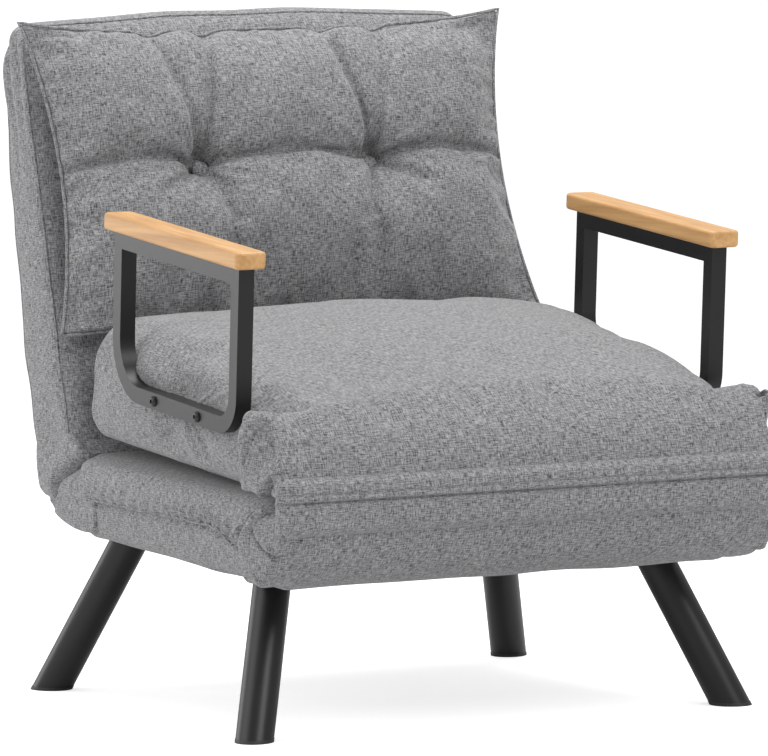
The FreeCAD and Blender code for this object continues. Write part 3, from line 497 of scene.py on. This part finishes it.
def build_pillow():
    """The pillow as one closed grid, with the line of its knife edge."""
    across, up = 100, 60
    verts, faces = [], []
    index = {}
    for side in (-1, 1):
        for i in range(across + 1):
            for j in range(up + 1):
                if side > 0 and (i in (0, across) or j in (0, up)):
                    index[side, i, j] = index[-1, i, j]
                    continue
                index[side, i, j] = len(verts)
                verts.append(pillow_point(2 * i / across - 1, j / up, side))
    for side in (-1, 1):
        for i in range(across):
            for j in range(up):
                faces.append((index[side, i, j], index[side, i + 1, j],
                              index[side, i + 1, j + 1], index[side, i, j + 1]))
    rim = [(i, 0) for i in range(across)] + [(across, j) for j in range(up)]
    rim += [(i, up) for i in range(across, 0, -1)] + [(0, j) for j in range(up, 0, -1)]
    return new_piece("pillow_cushion", verts, faces), [verts[index[-1, i, j]] for i, j in rim]


def pillow_hold(x, depth, up):
    """Where the stuffing can't move the cloth: seams, tufts and, partly, the fold and the rear."""
    weight = np.where(depth > -0.0005, 0.25, 0.0)
    for tuft in tuft_at.values():
        weight = np.maximum(weight, past(-np.hypot(x - tuft, up - tuft_up), -0.020, -0.008))
    weight = np.maximum(weight, 0.5 * bump(up - crease_height(x), 0.006) * (depth < 0))
    return np.maximum(weight, 1.0 * (np.abs(depth) < 1e-6))


def pillow_puckers(x, depth, up):
    """Sharp folds, with short puckers round the tufts and along the seams."""
    rise = -0.0050 * bump(up - crease_height(x), 0.0030)
    for gap, strength in fan_folds(x, up):
        rise -= 0.0045 * strength * bump(gap, 0.0045)
    for s, tuft in tuft_at.items():
        dx, dz = x - tuft, up - tuft_up
        reach = np.hypot(dx, dz)
        turn = np.arctan2(dz, dx)
        near = past(reach, 0.008, 0.03) * np.exp(-reach / 0.045)
        rise += 0.0036 * np.sin(11 * turn + s + 2 * np.sin(2 * turn)) * near
    edge = np.minimum(pillow_height - up, up)
    side = pillow_waist - np.abs(x)
    rise += 0.0022 * np.sin(math.tau * x / 0.037 + 3 * np.sin(x / 0.03)) * np.exp(-edge / 0.022)
    rise += 0.0022 * np.sin(math.tau * up / 0.034 + 3 * np.sin(up / 0.04)) * np.exp(-np.abs(side) / 0.022)
    return (rise + 0.0014 * waver(x, up, 0.085, 0.4)) * (depth < -0.002)


# Materials


def material(name):
    made = bpy.data.materials.new(name)
    made.use_nodes = True
    tree = made.node_tree
    return made, tree, tree.nodes["Principled BSDF"]


def add(tree, kind, **values):
    """A shader node, with its socket values and settings."""
    made = tree.nodes.new(kind)
    for key, value in values.items():
        if key in made.inputs:
            made.inputs[key].default_value = value
        else:
            setattr(made, key, value)
    return made


def fabric():
    """Heathered plain weave: slubs of light and dark yarn along and across the cloth."""
    made, tree, surface = material("heathered fabric")
    link = tree.links.new
    cloth = add(tree, "ShaderNodeUVMap", uv_map="weave")
    yarns = []
    for stretch in ((120.0, 760.0, 1.0), (760.0, 120.0, 1.0)):
        turned = add(tree, "ShaderNodeMapping", Scale=stretch)
        slubs = add(tree, "ShaderNodeTexNoise", Scale=1.0, Detail=2.0, Roughness=0.6)
        link(cloth.outputs["UV"], turned.inputs["Vector"])
        link(turned.outputs["Vector"], slubs.inputs["Vector"])
        yarns.append(slubs.outputs["Fac"])
    both = add(tree, "ShaderNodeMath", operation="ADD")
    link(yarns[0], both.inputs[0])
    link(yarns[1], both.inputs[1])
    patches = add(tree, "ShaderNodeTexNoise", Scale=42.0, Detail=2.0)
    link(cloth.outputs["UV"], patches.inputs["Vector"])
    cloudy = add(tree, "ShaderNodeMath", operation="MULTIPLY_ADD")
    cloudy.inputs[1].default_value = 0.14
    link(patches.outputs["Fac"], cloudy.inputs[0])
    link(both.outputs[0], cloudy.inputs[2])
    tone = add(tree, "ShaderNodeMapRange")
    tone.inputs["From Min"].default_value = 0.80
    tone.inputs["From Max"].default_value = 1.32
    link(cloudy.outputs[0], tone.inputs["Value"])
    ramp = add(tree, "ShaderNodeValToRGB")
    ramp.color_ramp.elements[0].color = (0.048, 0.048, 0.050, 1)
    ramp.color_ramp.elements[1].color = (0.42, 0.42, 0.43, 1)
    link(tone.outputs["Result"], ramp.inputs["Fac"])
    link(ramp.outputs["Color"], surface.inputs["Base Color"])
    raised = add(tree, "ShaderNodeBump", Strength=0.5, Distance=0.0010)
    link(both.outputs[0], raised.inputs["Height"])
    link(raised.outputs["Normal"], surface.inputs["Normal"])
    surface.inputs["Roughness"].default_value = 0.95
    surface.inputs["Sheen Weight"].default_value = 0.25
    surface.inputs["Sheen Roughness"].default_value = 0.5
    surface.inputs["Specular IOR Level"].default_value = 0.2
    return made


def steel(name, colour, roughness, metal, grain):
    made, tree, surface = material(name)
    place = add(tree, "ShaderNodeTexCoord")
    grit = add(tree, "ShaderNodeTexNoise", Scale=grain, Detail=2.0)
    tree.links.new(place.outputs["Object"], grit.inputs["Vector"])
    raised = add(tree, "ShaderNodeBump", Strength=0.12, Distance=0.0003)
    tree.links.new(grit.outputs["Fac"], raised.inputs["Height"])
    tree.links.new(raised.outputs["Normal"], surface.inputs["Normal"])
    surface.inputs["Base Color"].default_value = (*colour, 1)
    surface.inputs["Roughness"].default_value = roughness
    surface.inputs["Metallic"].default_value = metal
    return made


def wood():
    """Light close-grained wood with its grain along the bar."""
    made, tree, surface = material("clear lacquered beech")
    link = tree.links.new
    place = add(tree, "ShaderNodeTexCoord")
    along = add(tree, "ShaderNodeMapping", Scale=(95.0, 5.0, 95.0))
    along.inputs["Rotation"].default_value = (-seat_tilt, 0.0, 0.0)
    grain = add(tree, "ShaderNodeTexNoise", Scale=1.0, Detail=5.0, Roughness=0.6, Distortion=0.4)
    link(place.outputs["Object"], along.inputs["Vector"])
    link(along.outputs["Vector"], grain.inputs["Vector"])
    ramp = add(tree, "ShaderNodeValToRGB")
    ramp.color_ramp.elements[0].position = 0.3
    ramp.color_ramp.elements[0].color = (0.50, 0.255, 0.09, 1)
    ramp.color_ramp.elements[1].position = 0.7
    ramp.color_ramp.elements[1].color = (0.75, 0.44, 0.185, 1)
    link(grain.outputs["Fac"], ramp.inputs["Fac"])
    link(ramp.outputs["Color"], surface.inputs["Base Color"])
    surface.inputs["Roughness"].default_value = 0.45
    return made


def plain(name, colour, roughness):
    made, tree, surface = material(name)
    place = add(tree, "ShaderNodeTexCoord")
    pores = add(tree, "ShaderNodeTexNoise", Scale=900.0, Detail=3.0)
    tree.links.new(place.outputs["Object"], pores.inputs["Vector"])
    raised = add(tree, "ShaderNodeBump", Strength=0.4, Distance=0.0008)
    tree.links.new(pores.outputs["Fac"], raised.inputs["Height"])
    tree.links.new(raised.outputs["Normal"], surface.inputs["Normal"])
    surface.inputs["Base Color"].default_value = (*colour, 1)
    surface.inputs["Roughness"].default_value = roughness
    return made


coat = steel("black powder coat", (0.0045, 0.0045, 0.0052), 0.36, 0.0, 2600.0)
finishes = {
    "cover_fabric": fabric(),
    "foam": plain("open foam", (0.80, 0.76, 0.62), 0.9),
    "frame_steel": coat,
    "leg_steel": coat,
    "zinc_steel": steel("zinc plate", (0.55, 0.55, 0.54), 0.35, 1.0, 900.0),
    "black_bolt": steel("black oxide", (0.015, 0.015, 0.016), 0.3, 0.0, 1800.0),
    "beech": wood(),
    "glide_plastic": plain("moulded plastic", (0.02, 0.02, 0.02), 0.5),
}

for part in frame["record"]["subparts"]:
    mesh = frame["nodes"][part["node"]].data
    mesh.materials.clear()
    mesh.materials.append(finishes[part["material_slot"]])

# Soft pieces


def dress(piece, place, body, nodes=()):
    """Lays the weave on a finished fabric piece, places it and hangs it on its body."""
    lay_weave(piece.data)
    piece.data.transform(place)
    piece.data.materials.append(finishes["cover_fabric"])
    if body:
        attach(piece, body)
    if nodes:
        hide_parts(*nodes)
    return piece


def seam(name, piece, line, place, body):
    """A sewn edge that stands up a little on a piece that isn't placed yet."""
    return dress(cord_along(name, snapped(piece, line), seam_radius), place, body)


# Seat cushion

def seat_hold(x, u, w):
    """The cloth is held under the seat, at its hinge, and where the arm bolts pull it in."""
    weight = past(-w, -0.02, 0.0)
    weight = np.maximum(weight, past(-u, -0.05, -0.02))
    for bolt in (0.237, 0.356):
        weight = np.maximum(weight, bump(np.hypot(u - bolt, w - 0.071), 0.018) * (np.abs(x) > 0.28))
    return weight


def seat_folds(x, u, w):
    """Light waves on top, and soft pulls in the side between the bolts and the edges."""
    top = past(w, 0.09, 0.12)
    rise = 0.0016 * waver(x, u, 0.16, 0.9) * top
    side = past(np.abs(x), seat_half_width - 0.02, seat_half_width)
    return rise + 0.0014 * waver(u, w, 0.07, 2.1) * side * (1 - top)


seat = pad("seat_cushion", seat_outline, seat_half_width)
swell(seat, seat_hold, 2.5, 0.008, 0.02)
refine(seat)
carve(seat, seat_folds)
dress(seat, to_seat, "seat", ("seat_cover",))

# Base pad, with a seam along its side and a puffed upper half

side_seam_w = -0.045


def side_seam_height(u):
    """The side seam dips towards the front, where it runs in under the front roll."""
    return side_seam_w - 0.022 * past(-u, -0.24, -0.12)


def base_folds(x, u, w):
    side = past(np.abs(x), base_half_width - 0.022, base_half_width)
    above = w - side_seam_height(u)
    upper = past(above, 0.0, 0.018) * past(-w, -0.016, 0.002)
    lower = past(-above, 0.0, 0.02)
    slant = u + 0.9 * w
    wrinkle = np.sin(math.tau * slant / 0.027 + 2.2 * np.sin(u / 0.045)) * bump(above - 0.012, 0.015)
    strength = 0.35 + 0.65 * past(-u, -0.42, -0.10)
    rise = side * (0.0080 * upper - 0.0025 * lower - 0.0045 * bump(above, 0.0030))
    return rise + side * 0.0050 * wrinkle * strength + 0.0012 * waver(x, u, 0.15, 0.2) * (w < -0.08)


base = pad("base_pad", base_outline, base_half_width)
remesh(base, pad_voxel)
carve(base, base_folds)
for side, name in ((-1, "left"), (1, "right")):
    runs = np.linspace(0.10, base_length - 0.02, 60)
    line = [(side * (base_half_width + 0.01), u, side_seam_height(u)) for u in runs]
    seam(f"base_side_seam_{name}", base, line, to_base, "base")
dress(base, to_base, "base", ("base_cover",))

# Back pad, boxed, with a seam along the front and rear of its side band

back_corner = 0.045


def back_folds(x, depth, up):
    """Gathers where the band turns the top corners, and light waves elsewhere."""
    side = past(np.abs(x), back_half_width - 0.02, back_half_width)
    high = past(up, back_height - 0.26, back_height - 0.06)
    pleat = np.abs(np.sin(math.tau * (depth + 0.06 * (back_height - up)) / 0.052))
    band = past(depth, 0.004, 0.02)
    rise = -0.0045 * (1 - pleat) * side * high * band
    return rise + 0.0016 * waver(x, up, 0.2, 1.2) + 0.0014 * waver(depth, up, 0.09, 0.3) * side


def back_edge(depth, lift):
    """Round the band: up one side, over the top and down the other, at a given depth."""
    x, high = back_half_width + lift, back_height + lift
    r = back_corner
    line = [(-x, depth(0.0), 0.012), (-x, depth(0.5), high * 0.5), (-x, depth(1.0), high - r)]
    for i in range(1, 9):
        a = math.radians(90 * i / 9)
        line.append((-x + r * (1 - math.cos(a)), depth(1.0), high - r + r * math.sin(a)))
    return line + [(-p[0], p[1], p[2]) for p in reversed(line)]


back = pad("back_pad", back_outline, back_half_width)
refine(back)
carve(back, back_folds)
band_edges = {
    "front": lambda share: 0.004 + 0.022 * share,
    "rear": lambda share: back_depth - 0.012 * share,
}
for name, depth in band_edges.items():
    line = line_through(back_edge(depth, 0.004), 260)
    seam(f"back_{name}_seam", back, line, to_back, "back")
dress(back, to_back, "back", ("back_cover",))

# Front roll: stuffed lobes on seat and base, and the band of fabric over the hinge


upper_fold = ((0.027, 0.130), (0.044, 0.097), (0.066, 0.059), (0.080, 0.030))
ridge = ((0.019, 0.034), (0.044, 0.006), (0.059, -0.009), (0.074, -0.026), (0.095, -0.044))
lower_fold = ((0.055, 0.000), (0.062, -0.017), (0.053, -0.029), (0.034, -0.044), (0.005, -0.060))
tuck = ((0.078, -0.052), (0.066, -0.068), (0.050, -0.088))


def lobe_folds(sign):
    """The gathered corner of the front roll: laps, folds and a hem."""
    def folds(x, u, w):
        side = past(np.abs(x), front_half_width - 0.016, front_half_width - 0.002)
        hem = bump(u - lobe_depth + 0.014, 0.009)
        rise = 0.0035 * hem + 0.0012 * waver(u, w, 0.045, sign)
        if sign > 0:
            rise = rise + lapped(beside(u, w, upper_fold), 0.009, 0.012)
        else:
            rise = rise + lapped(beside(u, w, lower_fold), 0.008, 0.012)
            rise = rise + lapped(beside(u, w, tuck), 0.006, 0.011)
        rise = rise + lapped(-beside(u, w, ridge), 0.007, 0.007)
        hollow = bump(np.hypot(u - 0.022, (w - 0.080) * 0.45), 0.022)
        return side * (rise - 0.013 * hollow) + 0.0014 * waver(x, w, 0.07, sign)
    return folds


for sign, body, place in ((1, "seat", to_seat), (-1, "base", to_base)):
    height, flare = (0.097, 0.010) if sign > 0 else (-base_low_front - 0.004, 0.0)
    lobe_line = lobe_outline(sign, height, flare)
    lobe = pad(f"{body}_front_lobe", lobe_line, front_half_width, round_off=lobe_round)
    remesh(lobe, corner_voxel)
    carve(lobe, lobe_folds(sign))
    dress(lobe, place, body)

# Flaps of gathered cloth at the ends of the roll, as their free and tucked edges

seat_flap = (
    ((0.046, 0.098), (0.064, 0.097), (0.080, 0.090), (0.089, 0.074), (0.087, 0.050), (0.078, 0.026)),
    ((0.036, 0.094), (0.047, 0.086), (0.058, 0.074), (0.065, 0.059), (0.072, 0.042), (0.074, 0.026)),
)
base_flap = (
    ((0.044, -0.001), (0.058, -0.012), (0.074, -0.027), (0.088, -0.044), (0.086, -0.060), (0.056, -0.080)),
    ((0.034, -0.004), (0.050, -0.018), (0.058, -0.030), (0.054, -0.044), (0.046, -0.060), (0.044, -0.078)),
)
flap_lift = 0.013


def flap(name, edges, side):
    """A loose leaf of cloth that stands off the end of the roll along its free edge."""
    count, across = 30, 8
    free, tucked = (line_through([(u, w, 0) for u, w in edge], count) for edge in edges)
    verts, faces = [], []
    for i in range(count):
        taper = math.sin(math.pi * (i + 0.4) / count) ** 0.5
        for j in range(across):
            share = j / (across - 1)
            u, w, _ = free[i] + (tucked[i] - free[i]) * share
            out = flap_lift * taper * (math.cos(math.pi / 2 * share) ** 0.8 - 0.35 * (1 - share) ** 3)
            verts.append((side * (front_half_width + 0.001 + out - 0.004 * share), u, w))
    for i in range(count - 1):
        for j in range(across - 1):
            a, b = i * across + j, (i + 1) * across + j
            faces.append((a, b, b + 1, a + 1))
    leaf = new_piece(name, verts, faces)
    bpy.context.view_layer.objects.active = leaf
    cloth = leaf.modifiers.new("cloth", "SOLIDIFY")
    cloth.thickness = 0.0026
    cloth.offset = 0.0
    bpy.ops.object.modifier_apply(modifier=cloth.name)
    refine(leaf)
    return leaf


for side, name in ((-1, "left"), (1, "right")):
    dress(flap(f"seat_flap_{name}", seat_flap, side), to_seat, "seat")
    dress(flap(f"base_flap_{name}", base_flap, side), to_base, "base")

band_high = 0.040
lower_stitch = 0.006
upper_stitch = 0.015


def band_face(z):
    """How far the front band stands ahead of the hinge line: full, and pinched at its seam."""
    bulge = 0.0175 * (1 - (z / band_high) ** 2) ** 0.8 - 0.010 * past(abs(z), 0.026, band_high)
    pinch = 0.0048 * math.exp(-((z - lower_stitch) / 0.0018) ** 2)
    pinch += 0.0022 * math.exp(-((z - upper_stitch) / 0.0016) ** 2)
    rolled = 0.0012 * math.exp(-((z - (lower_stitch + upper_stitch) / 2) / 0.004) ** 2)
    return 0.0045 - max(z, 0.0) * math.sin(seat_tilt) - bulge + pinch - rolled


band_turn = 0.018
band_wrap = math.radians(72)


def band_path(share):
    """Plan of the band from the middle (0) to where it turns the corner (1): side and depth."""
    flat = front_half_width - 0.016
    along = share * (flat + band_turn * band_wrap)
    if along < flat:
        return along, 0.0
    angle = (along - flat) / band_turn
    return flat + band_turn * math.sin(angle), band_turn * (1 - math.cos(angle))


def front_band():
    """Loose fabric over the fold hinge, which laps round both front corners."""
    columns, rows = 110, 76
    verts, faces = [], []
    for i in range(-columns, columns + 1):
        share = abs(i) / columns
        x, back_by = band_path(share)
        for j in range(rows + 1):
            z = -band_high + 2 * band_high * j / rows
            out = band_face(z) * (1 - 0.7 * back_by / band_turn)
            verts.append((math.copysign(x, i), back_by + out, z))
    for i in range(2 * columns):
        for j in range(rows):
            a, b = i * (rows + 1) + j, (i + 1) * (rows + 1) + j
            faces.append((a, b, b + 1, a + 1))
    band = new_piece("front_band", verts, faces)
    bpy.context.view_layer.objects.active = band
    cloth = band.modifiers.new("cloth", "SOLIDIFY")
    cloth.thickness = 0.0022
    cloth.offset = -1.0
    bpy.ops.object.modifier_apply(modifier=cloth.name)
    return band


band = dress(front_band(), to_base, None, ("front_roll",))
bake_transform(band)


# Rear corner: the wedge of cover between base and back, folded in along a mitre

def wedge_outline(_):
    back_rear = to_back @ Vector((0, back_depth - 0.013, 0.040))
    back_inner = to_back @ Vector((0, 0.008, 0.040))
    return (0.150, 0.2025), [
        ((0.200, 0.1995), (0.254, 0.2085)),
        ((0.282, 0.2220), (0.3010, 0.2440)),
        ((0.3060, 0.2560), (back_rear.y, back_rear.z)),
        ((back_inner.y, back_inner.z),),
        ((0.150, 0.276),),
        ((0.150, 0.2025),),
    ]


mitre = ((0.150, 0.306), (0.190, 0.288), (0.2500, 0.2590), (0.265, 0.238), (0.270, 0.205))
wedge_seam = ((0.150, 0.2375), (0.230, 0.2355), (0.266, 0.2330))
wedge_pleats = (
    ((0.262, 0.232), (0.252, 0.208)),
    ((0.264, 0.232), (0.238, 0.204)),
    ((0.262, 0.233), (0.266, 0.208)),
)


def wedge_folds(x, y, z):
    """The base side runs up to a mitre crease, with its seam and short pleats below the point."""
    side = past(np.abs(x), back_half_width - 0.012, back_half_width - 0.006)
    gap = -beside(y, z, mitre)
    below = past(gap, 0.0, 0.004)
    seam_gap = z - np.interp(y, [p[0] for p in wedge_seam], [p[1] for p in wedge_seam])
    upper = past(seam_gap, 0.0, 0.016) * past(gap, 0.0, 0.014)
    lower = past(-seam_gap, 0.0, 0.010)
    rise = below * (0.0055 * upper - 0.0035 * lower - 0.0045 * bump(seam_gap, 0.0028))
    rise = rise - 0.0075 * bump(gap, 0.0034) * past(z, 0.214, 0.246)
    for pleat in wedge_pleats:
        rise = rise - 0.0030 * bump(beside(y, z, pleat), 0.0026) * below * (seam_gap < 0)
    sunk = 0.018 * (1 - past(y, 0.150, 0.184)) * below + 0.014 * past(z, 0.258, 0.292) * (1 - below)
    return side * rise - sunk * past(np.abs(x), back_half_width - 0.032, back_half_width - 0.016)


wedge = pad("rear_wedge", wedge_outline, back_half_width - 0.005, round_off=wedge_round)
remesh(wedge, corner_voxel)
carve(wedge, wedge_folds)
dress(wedge, Matrix.Identity(4), None, ("corner_gusset",))
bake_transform(wedge)

# Pillow and its covered buttons

def tuft_places(piece):
    """The points of the pillow's front at its two tufts."""
    points = places(piece.data)
    front = points[:, 1] < 0
    found = []
    for tuft in tuft_at.values():
        reach = np.hypot(points[:, 0] - tuft, points[:, 2] - tuft_up) + 9.0 * ~front
        found.append(Vector(points[reach.argmin()]))
    return found


pillow, pillow_rim = build_pillow()
swell(pillow, pillow_hold, 3.0, 0.016, 0.05)
tufts = tuft_places(pillow)
refine(pillow)
carve(pillow, pillow_puckers)
place = to_pillow @ Matrix.Translation((pillow_aside, 0, 0))
dress(cord_along("pillow_edge_seam", pillow_rim, pillow_seam_radius, closed=True), place, "pillow")
dress(pillow, place, "pillow", ("pillow",))


def button(name, middle):
    """A covered button: a low dome with a rolled rim."""
    profile = [(0.0, 0.0065), (0.004, 0.0061), (0.0075, 0.0048), (0.0098, 0.0028),
               (button_radius, 0.0004), (0.0104, -0.0016), (0.0080, -0.0026)]
    around = 24
    verts = [middle + Vector((0, -profile[0][1], 0))]
    for radius, high in profile[1:]:
        for k in range(around):
            turn = math.tau * k / around
            verts.append(middle + Vector((radius * math.cos(turn), -high, radius * math.sin(turn))))
    faces = [(0, 1 + k, 1 + (k + 1) % around) for k in range(around)]
    for ring in range(len(profile) - 2):
        for k in range(around):
            a, b = 1 + ring * around, 1 + (ring + 1) * around
            m = (k + 1) % around
            faces.append((a + k, a + m, b + m, b + k))
    return new_piece(name, verts, faces)


for name, middle in zip(("left", "right"), tufts):
    cover = button(f"button_{name}", middle + Vector((0, -button_lift, 0)))
    dress(cover, place, "pillow", ("pillow_buttons",))

for name in ("arm_loop_left", "arm_loop_right", "arm_bar_left", "arm_bar_right"):
    soften = frame["nodes"][name].modifiers.new("edge", "BEVEL")
    soften.width = 0.0016
    soften.segments = 3
    soften.limit_method = "ANGLE"

# Floor, light and camera


def studio_floor():
    mesh = bpy.data.meshes.new("floor")
    mesh.from_pydata([(-12, -12, 0), (12, -12, 0), (12, 12, 0), (-12, 12, 0)], [], [(0, 1, 2, 3)])
    floor = bpy.data.objects.new("floor", mesh)
    bpy.context.scene.collection.objects.link(floor)
    made, tree, surface = material("white floor")
    surface.inputs["Base Color"].default_value = (0.8, 0.8, 0.8, 1)
    surface.inputs["Roughness"].default_value = 1.0
    surface.inputs["Specular IOR Level"].default_value = 0.0
    surface.inputs["Emission Color"].default_value = (1, 1, 1, 1)
    path = add(tree, "ShaderNodeLightPath")
    gain = add(tree, "ShaderNodeMath", operation="MULTIPLY")
    gain.inputs[1].default_value = 0.62
    tree.links.new(path.outputs["Is Camera Ray"], gain.inputs[0])
    tree.links.new(gain.outputs[0], surface.inputs["Emission Strength"])
    mesh.materials.append(made)


def surround():
    """White all round, plain white to the camera."""
    world = bpy.data.worlds.new("studio")
    bpy.context.scene.world = world
    world.use_nodes = True
    tree = world.node_tree
    sky = tree.nodes["Background"]
    sky.inputs["Color"].default_value = (1, 1, 1, 1)
    path = add(tree, "ShaderNodeLightPath")
    level = add(tree, "ShaderNodeMapRange")
    level.inputs["To Min"].default_value = 0.55
    level.inputs["To Max"].default_value = 1.2
    tree.links.new(path.outputs["Is Camera Ray"], level.inputs["Value"])
    tree.links.new(level.outputs["Result"], sky.inputs["Strength"])


def softbox(name, place, aim, size, power):
    light = bpy.data.lights.new(name, "AREA")
    light.energy = power
    light.size = size
    lamp = bpy.data.objects.new(name, light)
    lamp.location = place
    lamp.rotation_euler = (Vector(aim) - Vector(place)).to_track_quat("-Z", "Y").to_euler()
    bpy.context.scene.collection.objects.link(lamp)


studio_floor()
surround()
softbox("side", (-2.9, 0.3, 1.7), (0, 0, 0.4), 2.2, 26)
softbox("rear_left", (-1.7, 2.6, 0.9), (0, 0, 0.4), 1.6, 17)
softbox("front", (0.6, -2.6, 2.6), (0, 0, 0.4), 1.6, 35)
softbox("top", (0.3, 0.6, 3.0), (0, 0, 0.4), 2.0, 56)

camera_place = Vector((-4.1028, -8.0092, 1.1710))
camera_azimuth = math.radians(-27.189)
camera_pitch = math.radians(-4.976)
camera_roll = math.radians(-0.577)
camera_lens = 348.28

ahead = Vector((-math.sin(camera_azimuth) * math.cos(camera_pitch),
                math.cos(camera_azimuth) * math.cos(camera_pitch), math.sin(camera_pitch)))
level_right = Vector((math.cos(camera_azimuth), math.sin(camera_azimuth), 0))
level_up = level_right.cross(ahead)
right = math.cos(camera_roll) * level_right + math.sin(camera_roll) * level_up
upward = -math.sin(camera_roll) * level_right + math.cos(camera_roll) * level_up
eye = bpy.data.cameras.new("camera")
eye.lens = camera_lens
eye.sensor_width = 36.0
eye.sensor_fit = "HORIZONTAL"
eye.clip_end = 100.0
viewer = bpy.data.objects.new("camera", eye)
turn = Matrix((right, upward, -ahead)).transposed().to_4x4()
viewer.matrix_world = Matrix.Translation(camera_place) @ turn
bpy.context.scene.collection.objects.link(viewer)
bpy.context.scene.camera = viewer
bpy.context.scene.view_settings.view_transform = "Standard"
